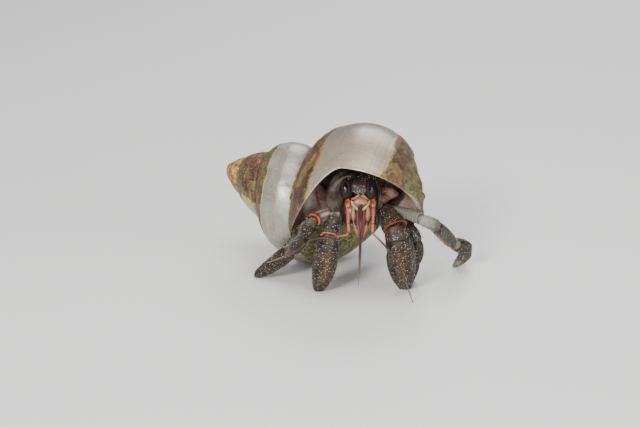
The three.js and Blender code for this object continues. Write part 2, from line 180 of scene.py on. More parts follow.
def make_cuticle_group():
    """Hard skin of a limb or plate: blotches, pores and pale grains."""
    group = bpy.data.node_groups.new("cuticle", "ShaderNodeTree")
    for side, name, kind in (
            ("INPUT", "Vector", "Vector"), ("INPUT", "Dark", "Color"), ("INPUT", "Mid", "Color"),
            ("INPUT", "Grain", "Float"), ("INPUT", "Grain Colour", "Color"),
            ("OUTPUT", "Color", "Color"), ("OUTPUT", "Roughness", "Float"),
            ("OUTPUT", "Height", "Float")):
        group.interface.new_socket(name, in_out=side, socket_type=f"NodeSocket{kind}")
    given = lay(group, "NodeGroupInput")
    at, dark, mid, grain, grain_colour = (
        Wire(given, name) for name in ("Vector", "Dark", "Mid", "Grain", "Grain Colour"))
    blotch, fine = at.mottle(0.55, 4), at.mottle(3.2, 3)
    base = (fine * 0.45 + blotch).fade(0.52, 0.88).mix(dark, mid)
    lay(group, "NodeGroupOutput", {
        "Color": grain.fade(0.2, 0.85).mix(base, grain_colour), "Roughness": fine * 0.25 + 0.3,
        "Height": fine + blotch * 0.4})
    return group


CUTICLE = make_cuticle_group()


def cuticle_finish(name, dark, mid, grain, orange=(0.72, 0.16, 0.035), pale=(0.56, 0.52, 0.47),
                   ochre=(0.2, 0.12, 0.04), rough=0.0, shine=0.5):
    """A limb's hard skin, tinted by the orange, pale and ochre attributes of the mesh. On some plates and
    the feeler stalks the pale one is a painted highlight, and on the mouthparts the ochre one also gives
    the painted shade of a hole.
    """
    made = Finish(name, Specular_IOR_Level=shine, Coat_Roughness=0.25)
    skin = lay(made.tree, "ShaderNodeGroup", {
        "Vector": made.place(), "Dark": opaque(dark), "Mid": opaque(mid),
        "Grain": made.attribute("grain"), "Grain Colour": opaque(grain)}, node_tree=CUTICLE)
    colour = Wire(skin, "Color")
    for tint, toward in (("ochre", ochre), ("pale", pale), ("orange", orange)):
        colour = made.attribute(tint).mix(colour, toward)
    made.feed(Base_Color=colour, Roughness=Wire(skin, "Roughness") + rough)
    return made.bump(Wire(skin, "Height"), 0.05, 0.6)


def make_pearl_finish():
    """The polished mother of pearl, and the mottled outer layer that is left beside it."""
    made = Finish("pearly shell", Specular_IOR_Level=0.5, Coat_Roughness=0.18)
    turn, around, silver, inside, pearl, green, gold, seam_shade = (made.attribute(name) for name in (
        "turn", "around", "silver", "inside", "pearl", "green", "gold", "seam_shade"))

    def along_growth(lengthwise, across, *look):
        at = {0: turn * lengthwise, 1: around * across}
        return Wire(lay(made.tree, "ShaderNodeCombineXYZ", at)).mottle(1.0, *look)

    lines = along_growth(46.0, 1.3, 5, 0.6)
    fine_lines = along_growth(230.0, 3.0, 3, 0.6)
    spiral_lines = along_growth(2.2, 34.0, 4, 0.6)
    bands = along_growth(0.7, 3.2, 1)
    stripes = along_growth(15.0, 2.6, 6, 0.65, 0.6)
    at = made.place()
    cloud, patch = at.mottle(0.16, 3), at.mottle(0.42, 4, 0.6, 0.5)
    speck, pits = at.mottle(1.25, 4, 0.6), at.mottle(3.4, 2, 0.5)
    bright = bands.fade(0.36, 0.64).mix((0.27, 0.205, 0.18), (0.28, 0.295, 0.24)).coats(
        (cloud, 0.5, 0.64, 0.6, (0.44, 0.43, 0.38)))
    nacre = cloud.fade(0.35, 0.66).mix((0.20, 0.15, 0.105), (0.235, 0.19, 0.145)).coats(
        (turn, -0.16, -0.01, 0.7, (0.40, 0.32, 0.22)))
    nacre = silver.mix(nacre, bright).coats(
        (lines, 0.46, 0.28, 0.7, (0.13, 0.09, 0.055)),
        (spiral_lines, 0.44, 0.3, 0.65, (0.15, 0.11, 0.08)),
        (spiral_lines, 0.56, 0.72, 0.75, (0.50, 0.46, 0.42)),
        (fine_lines, 0.5, 0.75, 0.35, (0.13, 0.10, 0.075)),
        (pits, 0.66, 0.72, 0.6, (0.62, 0.60, 0.54)),
        (pits, 0.34, 0.28, 0.6, (0.08, 0.05, 0.03)))
    crust = stripes.fade(0.42, 0.54).mix((0.026, 0.012, 0.008), (0.105, 0.05, 0.018)).coats(
        (stripes, 0.54, 0.64, 0.85, (0.30, 0.17, 0.035)),
        (patch, 0.50, 0.40, 0.8, (0.085, 0.022, 0.014)),
        (patch, 0.54, 0.64, 0.8, (0.11, 0.115, 0.02)),
        (speck, 0.58, 0.66, 0.7, (0.22, 0.10, 0.022)),
        (speck, 0.42, 0.34, 0.8, (0.022, 0.012, 0.008)),
        (pits, 0.64, 0.71, 0.55, (0.44, 0.39, 0.27)))
    moss = speck.fade(0.42, 0.6).mix((0.03, 0.04, 0.008), (0.13, 0.13, 0.03)).coats(
        (patch, 0.54, 0.64, 0.7, (0.15, 0.085, 0.05)),
        (pits, 0.58, 0.68, 0.8, (0.33, 0.29, 0.17)))
    amber = stripes.fade(0.42, 0.58).mix((0.24, 0.075, 0.012), (0.46, 0.23, 0.045)).coats(
        (lines, 0.53, 0.62, 0.9, (0.56, 0.47, 0.30)),
        (patch, 0.45, 0.37, 0.7, (0.09, 0.06, 0.012)))
    inner = cloud.fade(0.34, 0.62).mix((0.42, 0.22, 0.165), (0.58, 0.47, 0.42)).coats(
        (lines, 0.45, 0.72, 0.6, (0.74, 0.68, 0.66)))
    worn = (speck - 0.5) * 0.9 + pearl
    rim = silver.mix((0.25, 0.15, 0.028), (0.42, 0.38, 0.07))
    outside = green.mix(crust, moss).coats((worn, 0.14, 0.4, 0.85, rim), (worn, 0.46, 0.6, 1, nacre))
    # painted shade: a dark brown line along the seams where whorls meet
    outside = seam_shade.mix(gold.mix(outside, amber), (0.035, 0.018, 0.01))
    polish = worn.fade(0.46, 0.6).maths("MAXIMUM", inside)
    made.feed(Base_Color=inside.mix(outside, inner), Metallic=polish * 0.3,
              Roughness=(fine_lines * 0.3 + polish).fade(0.0, 1.3, 0.58, 0.28),
              Coat_Weight=polish * 0.2 + 0.05)
    rough = speck * (polish * -1.0 + 1.5)
    return made.bump(lines + fine_lines * 0.5 + spiral_lines * 0.5 + rough, 0.15, 0.6)


def flesh_finish(name, light, dark, spots, rough=0.4, wet=0.3, shine=0.5):
    """Soft skin, in blotches. The ochre attribute of the mesh darkens it, as painted shade."""
    made = Finish(name, Specular_IOR_Level=shine, Coat_Roughness=0.15, Coat_Weight=wet,
                  Subsurface_Weight=0.15, Subsurface_Scale=0.6 * MM)
    at = made.place()
    fine = at.mottle(2.8)
    colour = at.mottle(0.5).fade(0.35, 0.65).mix(dark, light).coats((fine, 0.6, 0.72, 0.7, spots))
    # painted shade: the mesh's ochre value darkens the skin to near black
    colour = made.attribute("ochre").mix(colour, (0.02, 0.012, 0.008))
    made.feed(Base_Color=colour, Roughness=fine * 0.2 + (rough - 0.1))
    return made.bump(fine, 0.08, 0.5)


def make_cornea_finish():
    made = Finish("cornea", Specular_IOR_Level=0.45, Coat_Weight=0.5, Coat_Roughness=0.02)
    at = made.place()
    facets = Wire(lay(made.tree, "ShaderNodeTexVoronoi", {"Vector": at, "Scale": 12.0}), "Distance")
    cloud = at.mottle(0.9, 2).fade(0.4, 0.65)
    made.feed(Base_Color=cloud.mix((0.002, 0.001, 0.004), (0.010, 0.004, 0.019)),
              Roughness=facets * 0.08 + 0.06)
    return made.material


def make_feeler_finish():
    """Ringed feelers: the rings follow the distance from the root."""
    made = Finish("feeler", Specular_IOR_Level=0.5)
    rings = (made.attribute("reach") * 30.0).maths("SINE", 0.0)
    colour = rings.fade(-0.6, 0.8).mix((0.014, 0.005, 0.004), (0.045, 0.017, 0.010))
    colour = made.attribute("orange").mix(colour, (0.62, 0.15, 0.04))
    colour = made.attribute("pale").mix(colour, (0.42, 0.33, 0.22))
    made.feed(Base_Color=colour, Roughness=rings.fade(-1, 1, 0.35, 0.5))
    return made.bump(rings, 0.03, 0.5)


def make_bristle_finish():
    made = Finish("bristles", Specular_IOR_Level=0.4)
    tone = made.place().mottle(0.8, 2)
    colour = made.attribute("reach").mix((0.30, 0.16, 0.07), (0.62, 0.55, 0.44))
    made.feed(Base_Color=tone.fade(0.4, 0.65).mix(colour, (0.45, 0.36, 0.25)),
              Roughness=tone * 0.2 + 0.4)
    return made.material


PEARL = make_pearl_finish()
CLAW = cuticle_finish(
    "claw cuticle", (0.007, 0.005, 0.004), (0.032, 0.021, 0.015), (0.58, 0.53, 0.45),
    orange=(0.21, 0.052, 0.018), pale=(0.46, 0.22, 0.10), ochre=(0.12, 0.065, 0.02), shine=0.2)
LEG = cuticle_finish(
    "leg cuticle", (0.008, 0.006, 0.004), (0.036, 0.025, 0.018), (0.56, 0.52, 0.45),
    orange=(0.22, 0.058, 0.02), pale=(0.25, 0.25, 0.195), ochre=(0.09, 0.055, 0.024), shine=0.2)
# painted highlight: the pale colour of this finish stands for light caught on the upper sides of these
# leg bases
PAINTED_LIGHT_LEG = cuticle_finish(
    "leg base with painted light", (0.008, 0.006, 0.004), (0.036, 0.025, 0.018), (0.60, 0.57, 0.52),
    pale=(0.56, 0.42, 0.35), shine=0.25)
CARAPACE = cuticle_finish(
    "carapace", (0.006, 0.003, 0.0025), (0.024, 0.012, 0.008), (0.72, 0.68, 0.62),
    ochre=(0.05, 0.03, 0.016), rough=-0.06, shine=0.25)
STALK = cuticle_finish(
    "eyestalk", (0.007, 0.004, 0.003), (0.024, 0.014, 0.008), (0.4, 0.36, 0.3),
    pale=(0.09, 0.056, 0.026), rough=0.12, shine=0.12)
# the pale colour of this finish is a painted highlight along one side of the feeler stalks
ORANGE = cuticle_finish(
    "orange stalks", (0.15, 0.017, 0.005), (0.28, 0.05, 0.013), (0.8, 0.5, 0.3),
    orange=(0.10, 0.008, 0.003), pale=(0.50, 0.18, 0.08), rough=-0.12)
MOUTH = cuticle_finish(
    "mouthparts", (0.15, 0.045, 0.026), (0.25, 0.10, 0.05), (0.6, 0.45, 0.3),
    orange=(0.28, 0.04, 0.012), pale=(0.38, 0.23, 0.14), ochre=(0.02, 0.012, 0.012), rough=-0.1)
FLANK = flesh_finish("flank skin", (0.07, 0.048, 0.032), (0.016, 0.010, 0.007), (0.16, 0.12, 0.09),
                     wet=0.1, shine=0.15)
FLESH = flesh_finish("soft skin", (0.36, 0.19, 0.14), (0.15, 0.065, 0.045), (0.50, 0.40, 0.34),
                     rough=0.24, wet=0.6)
MEMBRANE = flesh_finish("joint skin", (0.09, 0.03, 0.014), (0.035, 0.011, 0.006),
                        (0.15, 0.07, 0.04), shine=0.25)
CORNEA = make_cornea_finish()
FEELER = make_feeler_finish()
BRISTLE = make_bristle_finish()


# ---------------------------------------------------------------- meshes

def point_layers(bm, *names):
    return [bm.verts.layers.float.get(n) or bm.verts.layers.float.new(n) for n in names]


def finish_piece(bm, name, material, slot, *replaces):
    """Moves a mesh in millimetres to the frame and makes it a piece of the object."""
    bmesh.ops.translate(bm, vec=TO_BOX_MIDDLE, verts=bm.verts)
    bmesh.ops.scale(bm, vec=(MM, MM, MM), verts=bm.verts)
    bmesh.ops.recalc_face_normals(bm, faces=bm.faces)
    for face in bm.faces:
        face.smooth = True
    piece = add_object(bm, name, material)
    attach(piece, "root")
    if replaces:
        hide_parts(*replaces)
    return piece


def add_object(bm, name, material):
    mesh = bpy.data.meshes.new(name)
    bm.to_mesh(mesh)
    bm.free()
    mesh.materials.append(material)
    made = bpy.data.objects.new(name, mesh)
    bpy.context.scene.collection.objects.link(made)
    return made


class Curve:
    """A smooth line through points, followed by its share of length from 0 to 1."""

    def __init__(self, points, steps=24):
        points = [Vector(p) for p in points]
        ends = [2 * points[0] - points[1], *points, 2 * points[-1] - points[-2]]
        line = [points[0]]
        for i in range(1, len(points)):
            line += [self.span(ends[i - 1:i + 3], (k + 1) / steps) for k in range(steps)]
        self.line = np.array([tuple(p) for p in line])
        lengths = np.linalg.norm(np.diff(self.line, axis=0), axis=1)
        self.reach = np.concatenate([[0], np.cumsum(lengths)])
        self.length = float(self.reach[-1])

    @staticmethod
    def span(four, t):
        """Centripetal Catmull-Rom between the middle two of four points."""
        knots = [0.0]
        for a, b in zip(four, four[1:]):
            knots.append(knots[-1] + max((b - a).length ** 0.5, 1e-6))
        u = knots[1] + (knots[2] - knots[1]) * t
        level = list(four)
        for width in (1, 2, 3):
            starts = knots if width < 3 else knots[1:]
            spread = width if width < 3 else 1
            level = [a.lerp(b, (u - starts[i]) / (starts[i + spread] - starts[i]))
                     for i, (a, b) in enumerate(zip(level, level[1:]))]
        return level[0]

    def at(self, s):
        d = s * self.length
        return Vector([float(np.interp(d, self.reach, self.line[:, i])) for i in range(3)])

    def forward(self, s):
        near = 0.02
        return (self.at(min(s + near, 1)) - self.at(max(s - near, 0))).normalized()


def soften(profile):
    """A profile [(place, radius), ...] as a smooth function of place."""
    cells, half = 400, 20
    grid = np.linspace(0, 1, cells + 1)
    radii = np.interp(grid, *zip(*profile))
    padded = np.concatenate([np.full(half, radii[0]), radii, np.full(half, radii[-1])])
    kernel = np.hanning(2 * half + 1)
    rounded = np.convolve(padded, kernel / kernel.sum(), "valid")
    return lambda s: float(np.interp(s, grid, rounded))


class Length:
    """A limb's length: a profile swept along a curve, with a squarish or keeled section."""

    def __init__(self, points, wide, deep, profile, face=(1, 0, 0), square=2.2, relief=None):
        self.curve = Curve(points)
        self.wide, self.deep = wide, deep
        self.radius = profile if callable(profile) else soften(profile)
        self.face = Vector(face)
        self.square = square
        self.relief = relief

    def frame(self, s):
        forward = self.curve.forward(s)
        across = (self.face - forward * self.face.dot(forward)).normalized()
        return self.curve.at(s), across, across.cross(forward)

    def point(self, s, a, shrink=1.0, frame=None):
        """The surface at s of the length and angle a round it."""
        middle, across, down = frame or self.frame(s)
        c, n = math.cos(a), math.sin(a)
        corner = (abs(c) ** self.square + abs(n) ** self.square) ** (-1 / self.square)
        r = self.radius(s) * shrink * corner
        if self.relief:
            r *= 1 + self.relief(s, a)
        return middle + across * (c * r * self.wide) + down * (n * r * self.deep)

    def normal(self, s, a):
        ds = self.point(min(s + 0.01, 1), a) - self.point(max(s - 0.01, 0), a)
        dr = self.point(s, a + 0.05) - self.point(s, a - 0.05)
        outward = dr.cross(ds)
        if outward.dot(self.point(s, a) - self.curve.at(s)) < 0:
            outward.negate()
        return outward.normalized()


def sweep(bm, rings, sides, place):
    """Extrudes a circle from ring to ring. place(ring, round) gives each vertex's point."""
    (around,) = point_layers(bm, "around")
    made = bmesh.ops.create_circle(bm, cap_ends=False, radius=1, segments=sides)["verts"]
    for vert in made:
        vert[around] = math.atan2(vert.co.y, vert.co.x)
    edges = list({e for v in made for e in v.link_edges})
    stages = []
    for i, ring in enumerate(rings):
        if i:
            grown = bmesh.ops.extrude_edge_only(bm, edges=edges)["geom"]
            made = [g for g in grown if isinstance(g, bmesh.types.BMVert)]
            edges = [g for g in grown if isinstance(g, bmesh.types.BMEdge)]
        for vert in made:
            vert.co = place(ring, vert[around])
        stages.append(made)
    return stages


def close_ends(bm, *ends):
    for verts in ends:
        centre = sum((v.co for v in verts), Vector()) / len(verts)
        bmesh.ops.pointmerge(bm, verts=verts, merge_co=centre)


def sweep_length(bm, length, rings, sides, on_floor=False, **tints):
    """Sweeps a Length. rings lists (place, shrink); a tint is a value or f(place, round)."""
    names = ("grain", "orange", "pale", "ochre")
    layers = dict(zip(names, point_layers(bm, *names)))
    frames = {}

    def place(ring, a):
        s, shrink = ring
        if ring not in frames:
            frames[ring] = length.frame(s)
        p = length.point(s, a, shrink, frames[ring])
        if on_floor:
            p.z = max(p.z, 0.0)
        return p

    stages = sweep(bm, rings, sides, place)
    around = bm.verts.layers.float["around"]
    for (s, _), verts in zip(rings, stages):
        for vert in verts:
            for name, tint in tints.items():
                vert[layers[name]] = tint(s, vert[around]) if callable(tint) else tint
    close_ends(bm, stages[0], stages[-1])
    return stages


def rim_rings(steps, tip=False):
    """Places and shrinks of a plate's rings, with a lipped far rim, or a rounded tip."""
    rings = [(0.03, 0.3), (0.016, 0.78), (0.004, 0.9), (0.0, 0.97), (0.012, 1.0)]
    rings += [(0.012 + 0.94 * (i + 1) / (steps + 1), 1.0) for i in range(steps)]
    if tip:
        return rings + [(0.966, 0.99), (0.978, 0.95), (0.988, 0.85), (0.996, 0.6), (1.0, 0.25)]
    return rings + [(0.962, 1.0), (0.968, 1.02), (0.99, 1.025), (1.0, 0.98), (0.998, 0.92),
                    (0.985, 0.84), (0.965, 0.3)]


def egg_rings(steps):
    end = 0.012
    return [(end + (1 - 2 * end) * (0.5 - 0.5 * math.cos(math.pi * i / steps)), 1.0)
            for i in range(steps + 1)]


def as_pattern(bm):
    """A small shape that will be repeated: its points and its faces."""
    bm.verts.index_update()
    points = np.array([tuple(v.co) for v in bm.verts])
    faces = [[v.index for v in f.verts] for f in bm.faces]
    bm.free()
    return points, faces


def join_copies(name, faces, copies, layer, values):
    """One mesh of many copies of a pattern, with one value for each point in a layer."""
    size = len(copies[0])
    mesh = bpy.data.meshes.new(name)
    mesh.from_pydata(np.concatenate(copies).tolist(), [],
                     [[k + i * size for k in face] for i in range(len(copies)) for face in faces])
    made = mesh.attributes.new(layer, "FLOAT", "POINT")
    made.data.foreach_set("value", np.concatenate(values).astype(np.float32))
    return mesh


# ---- grains: pale domes in rows on the hard skin ----

def make_dome():
    """A low dome on z = 0, sunk a little."""
    bm = bmesh.new()
    bmesh.ops.create_cone(bm, cap_ends=False, segments=6, radius1=1.0, radius2=0.66, depth=0.7)
    top = [v for v in bm.verts if v.co.z > 0]
    edges = [e for e in bm.edges if all(v in top for v in e.verts)]
    grown = bmesh.ops.extrude_edge_only(bm, edges=edges)["geom"]
    peak = [g for g in grown if isinstance(g, bmesh.types.BMVert)]
    bmesh.ops.pointmerge(bm, verts=peak, merge_co=(0, 0, 0.62))
    bmesh.ops.recalc_face_normals(bm, faces=bm.faces)
    return as_pattern(bm)


DOME, DOME_FACES = make_dome()
DOME_TOP = np.clip((DOME[:, 2] + 0.1) / 0.7, 0, 1)       # how near each point is to the top


def add_grains(bm, length, spacing, size, keep=lambda s, a: 1.0, start=0.05, end=0.95, dullest=0.2):
    """Rows of grains along a limb. keep(place, round) is each one's chance, and its size."""
    copies, paleness = [], []
    rows = max(3, int(length.curve.length * (end - start) / spacing))
    for i in range(rows):
        s = start + (end - start) * (i + 0.5) / rows
        belt = 2.6 * length.radius(s) * (length.wide + length.deep) * 1.2
        count = max(4, int(belt / spacing))
        for k in range(count):
            a = TURN * (k + 0.5 * (i % 2) + chance.uniform(-0.28, 0.28)) / count
            a = math.atan2(math.sin(a), math.cos(a))
            at = s + chance.uniform(-0.3, 0.3) * spacing / length.curve.length
            at = min(max(at, 0.02), 0.98)
            wanted = keep(at, a)
            if chance.random() > wanted:
                continue
            radius = size * chance.uniform(0.65, 1.25) * (0.6 + 0.4 * wanted)
            root = length.point(at, a)
            if root.z < radius:
                continue
            normal = length.normal(at, a)
            side = normal.orthogonal().normalized()
            turned = np.array([side, normal.cross(side), normal])
            copies.append(DOME * (radius, radius, 0.8 * radius) @ turned + np.array(root))
            paleness.append(DOME_TOP * (dullest + (1 - dullest) * chance.random() ** 1.3))
    if copies:
        mesh = join_copies("grains", DOME_FACES, copies, "grain", paleness)
        bm.from_mesh(mesh)
        bpy.data.meshes.remove(mesh)


# ---- bristles: curved hairs in tufts, all in one joined mesh ----

STEM_SIDES, STEM_LEVELS = 3, 4


def make_stem():
    """A plain stem from z = 0 to 1."""
    bm = bmesh.new()
    stages = sweep(bm, np.linspace(0, 1, STEM_LEVELS), STEM_SIDES,
                   lambda z, a: (math.cos(a - math.pi / 2), math.sin(a - math.pi / 2), z))
    for ring in (stages[0], stages[-1]):
        bmesh.ops.contextual_create(bm, geom=ring)
    bmesh.ops.recalc_face_normals(bm, faces=bm.faces)
    return as_pattern(bm)


STEM, STEM_FACES = make_stem()
STEM_ROUND = np.round(np.arctan2(STEM[:, 1], STEM[:, 0]) / TURN * STEM_SIDES) / STEM_SIDES % 1
UNWRAP_CELLS = 7                # each limb piece has its own square of the unwrap
UNWRAP_EDGE = 0.05              # and keeps this far from the square's edge
TUFT_PATCH = 0.003              # each tuft's size on the unwrap
BRISTLES = []                   # each one's points, and their places on the unwrap


def grow_tufts(cell, length, places, reach, lean=0.5, hairs=5, spread=0.35, radius=0.035):
    """Tufts on a limb: each (place, round) grows hairs that lean towards the limb's tip."""
    column, row = cell % UNWRAP_CELLS, cell // UNWRAP_CELLS
    for s, a in places:
        root, normal = length.point(s, a), length.normal(s, a)
        forward = length.curve.forward(s)
        inside = UNWRAP_EDGE + (1 - 2 * UNWRAP_EDGE) * np.array([a / TURN + 0.5, s])
        base = (np.array([column, row]) + inside) / UNWRAP_CELLS
        for _ in range(hairs):
            jitter = Vector([chance.uniform(-spread, spread) for _ in range(3)])
            way = (normal + forward * lean + jitter).normalized()
            if (root + way * reach).z < 0.1:
                way.z = max(way.z, 0.02)
                way.normalize()
            bend = forward * chance.uniform(0.1, 0.45)
            grow_hair(root - normal * 0.03 + jitter * 0.12, way, bend,
                      reach * chance.uniform(0.55, 1.15), radius, base)


def grow_hair(root, way, bend, reach, radius, base):
    side = way.orthogonal().normalized()
    t = STEM[:, 2:]
    middle = np.array(root) + reach * (t * np.array(way) + t * t * np.array(bend))
    middle[:, 2] = np.maximum(middle[:, 2], radius * 1.2)
    points = middle + radius * (1 - 0.8 * t) * (STEM[:, :2] @ np.array([side, way.cross(side)]))
    patch = base + TUFT_PATCH * (np.column_stack([STEM_ROUND, t]) - 0.5)
    BRISTLES.append((points, patch))


def make_bristles():
    points, patches = zip(*BRISTLES)
    mesh = join_copies("stems", STEM_FACES, points, "reach", [STEM[:, 2]] * len(points))
    unwrap = mesh.uv_layers.new(name="OFBake")
    corners = np.zeros(len(mesh.loops), np.int32)
    mesh.loops.foreach_get("vertex_index", corners)
    unwrap.data.foreach_set("uv", np.concatenate(patches)[corners].astype(np.float32).ravel())
    bm = bmesh.new()
    bm.from_mesh(mesh)
    bpy.data.meshes.remove(mesh)
    finish_piece(bm, "bristles", BRISTLE, "setae")


# ---------------------------------------------------------------- shell

# Each turn of the whorls is written as 0 at the lip and -1, -2 and so on towards the tip.
TURNS, HOLLOW_TURNS = 4.3, 0.62
WIDTH_GROWTH, BLUNTNESS, LENGTH_GROWTH = 1.95, 0.035, 2.12
SHELL_LENGTH, WHORL_REACH, HALF_ACROSS, HALF_ALONG = 35.27, 10.5, 10.8, 12.2
SHOULDER, SHOULDER_AT, SHOULDER_SPREAD = 0.17, -2.0, 0.55
BASE_FLAT, SLANT = 0.05, 0.03
WALL, LIP_WALL, WALL_TAPER = 1.0, 0.5, 1 / 6
TIP, COLUMELLA, PILLAR = 1.8, 1.6, 0.62
LIP_ANGLE = math.radians(46.15)
LIP_LEAN, LIP_AHEAD, LIP_FADE = -0.08, 1.0, 2.0
LIP_START, LIP_RISE, LIP_END, LIP_FALL = 0.2, 1.25, 3.1, 0.9
EVENNESS, EVEN_TURN, EVEN_FADE = 0.72, -1.0, 0.5
EVEN_FROM, EVEN_TO, EVEN_EDGE = -1.75, 0.9, 0.55
SHELL_SIDES, PILLAR_SIDES = 112, 28
FINE_STEP, COARSE_STEP, COARSE_BEFORE = 1 / 84, 1 / 44, -2.3
LAST_STEP = -0.006              # the swept walls end here, and the lip's own rings follow
BURIED = 0.97                   # what lies deeper than this in another whorl is left out
APEX = Vector((-19.53, 26.85, 17.77))
AXIS_TURN, AXIS_DIP = math.radians(-27.3), math.radians(9.41)
AXIS = Vector((math.cos(AXIS_TURN) * math.cos(AXIS_DIP),
               math.sin(AXIS_TURN) * math.cos(AXIS_DIP), -math.sin(AXIS_DIP)))
UPRIGHT = (Vector((0, 0, 1)) - AXIS * AXIS.z).normalized()
SIDEWAYS = AXIS.cross(UPRIGHT)


def from_axis(along, out, angle):
    return APEX + AXIS * along + SIDEWAYS * (out * math.cos(angle)) + UPRIGHT * (
        out * math.sin(angle))


def growth(turn):
    return math.exp(math.log(WIDTH_GROWTH) * turn + BLUNTNESS * turn * turn)


def distance_down(turn):
    """How far along the axis the whorl's middle lies from the apex."""
    return SHELL_LENGTH * LENGTH_GROWTH ** turn


def swelling(around):
    off = around - SHOULDER_AT
    off = math.atan2(math.sin(off), math.cos(off)) / SHOULDER_SPREAD
    return 1 + SHOULDER * math.exp(-off * off)


def lip_lean(turn, around, fill=1.0):
    """How far the whorl's edge runs ahead near the lip, as an angle."""
    upper = 0.0
    if around < 0:
        upper = rise(-around, LIP_START, LIP_RISE) * rise(around, -LIP_END, LIP_FALL)
    near = min(max(1 + turn * TURN / LIP_FADE, 0), 1)
    return (LIP_LEAN * math.sin(around) + LIP_AHEAD * upper) * near * fill


def cone_out(along):
    """Radius of the cone that touches every whorl."""
    turn = math.log(max(along, TIP / 4) / SHELL_LENGTH) / math.log(LENGTH_GROWTH)
    return growth(turn) * (WHORL_REACH + HALF_ACROSS)


def evenness(turn, around):
    return (EVENNESS * fall(turn, EVEN_TURN, EVEN_FADE) * rise(around, EVEN_FROM, EVEN_EDGE)
            * fall(around, EVEN_TO, EVEN_EDGE))


def shell_point(turn, around, fill=1.0):
    size, bulge = growth(turn), fill * swelling(around)
    c, n = bulge * math.cos(around), math.sin(around)
    out = size * (WHORL_REACH + HALF_ACROSS * c)
    along = distance_down(turn) + size * (
        HALF_ALONG * bulge * n * (1 - BASE_FLAT * n) - SLANT * HALF_ACROSS * c)
    out += (cone_out(along) - out) * min(fill, 1.0) * evenness(turn, around)
    return from_axis(along, out, LIP_ANGLE - (turn * TURN + lip_lean(turn, around, fill)))


def inner_fill(turn):
    """How full of the whorl its hollow is."""
    wall = WALL + (LIP_WALL - WALL) * rise(turn, -WALL_TAPER, WALL_TAPER)
    return 1 - wall / (growth(turn) * HALF_ACROSS)


def whorl_fill(point, near_turn):
    """Where a point lies in the whorl about near_turn: (turn, how full it is there)."""
    from_apex = point - APEX
    along = from_apex.dot(AXIS)
    x, y = from_apex.dot(SIDEWAYS), from_apex.dot(UPRIGHT)
    out = math.hypot(x, y)
    turn = (LIP_ANGLE - math.atan2(y, x)) / TURN
    turn += round(near_turn - turn)
    bare = turn
    for _ in range(3):
        size = growth(turn)
        c = (out / size - WHORL_REACH) / HALF_ACROSS
        n = (along - distance_down(turn)) / (size * HALF_ALONG) + SLANT * c
        around = math.atan2(n, c)
        fill = math.hypot(c, n) / swelling(around)
        turn = bare - lip_lean(turn, around, min(fill, 1)) / TURN
    return turn, fill


def wobble(turn, around, turn_rate, around_rate, seed):
    return noise.noise(Vector((turn * turn_rate, around * around_rate, seed)))


def pearl_band(turn, around):
    """1 on the polished band of the whorls, 0 on the mottled layer beside it."""
    wander = wobble(turn, around, 9, 2, 3.1) * 0.12 + wobble(turn, around, 31, 5, 1.3) * 0.05
    low = -0.70 + 0.10 * rise(-turn, 0.55, 0.3)
    high = 0.46 + 0.6 * rise(-turn, 0.95, 0.12)
    return between(around + wander, low, high, 0.16) * rise(turn, -1.86, 0.1)


def shell_relief(turn, around, pearl):
    """Height of the shell's surface over the plain whorl, in millimetres."""
    ridges = wobble(turn, around, 46, 1.3, 0.4) * 0.12 + wobble(turn, around, 140, 2.2, 5.4) * 0.04
    crust = wobble(turn, around, 26, 4.5, 9.0) * 0.22 + wobble(turn, around, 80, 13, 2.0) * 0.13
    lumps = max(wobble(turn, around, 17, 3.4, 7.7), 0.0)
    crust += 0.9 * lumps * rise(turn, -0.6, 0.2) * rise(around, 0.6, 0.3)
    bare = 1 - pearl
    return min(growth(turn), 1.0) * (ridges * (0.55 + 0.45 * bare) + bare * (0.12 + crust) - 0.17)


def lip_flare(turn, around):
    """How far the lip turns outwards low on its outer side, as a share of the whorl."""
    return 0.085 * between(around, 1.15, 2.0, 0.35) * rise(turn, -0.2, 0.18)


def shell_rings():
    """(turn, kind) of each ring: down the outside to the lip, and back up the hollow."""
    rings, turn = [], -TURNS
    while turn < LAST_STEP:
        rings.append((turn, "out"))
        turn += COARSE_STEP if turn < COARSE_BEFORE else FINE_STEP
    rings += [(-0.004, "out"), (-0.001, "edge"), (0.0, "middle"), (-0.001, "lining")]
    turn = LAST_STEP
    while turn > -HOLLOW_TURNS - 0.12:
        rings.append((turn, "hollow"))
        turn -= FINE_STEP
    return rings + [(turn, "back")]


def shell_place(ring, around):
    turn, kind = ring
    fill = inner_fill(turn)
    if kind in ("out", "edge"):
        raised = shell_relief(turn, around, pearl_band(turn, around)) / (growth(turn) * HALF_ACROSS)
        fill = 1 + raised * fall(turn, 0, 0.02) - (0.012 if kind == "edge" else 0)
        fill += lip_flare(turn, around)
    elif kind == "middle":
        fill = (1 + fill + lip_flare(turn, around)) / 2
    elif kind == "lining":
        fill += 0.012
    elif kind == "back":
        fill *= 0.5
    return shell_point(turn, around, fill)


def shell_tints(turn, around, kind, height):
    """How much of each colouring shows at a point, from 0 to 1."""
    glaze = between(turn, -1.16, -0.72, 0.1) * rise(around, 0.85, 0.3) * rise(height, 12.0, 2.0)
    lined = 1.0 if kind in ("hollow", "back", "lining") else 0.6 if kind == "middle" else 0.0
    return {
        "turn": turn, "pearl": pearl_band(turn, around), "gold": rise(-turn, 2.3, 0.5),
        "silver": rise(-turn, 0.55, 0.35), "inside": max(glaze, lined),
        "green": max(rise(around, 1.15, 0.5) * rise(turn, -1.4, 0.5),
                     0.7 * rise(-around, 0.5, 0.2) * rise(-turn, 0.7, 0.4),
                     0.8 * rise(turn, -0.09, 0.07) * rise(around, 0.8, 0.3),
                     between(turn, -0.98, -0.5, 0.1) * rise(around, 0.48, 0.14))}


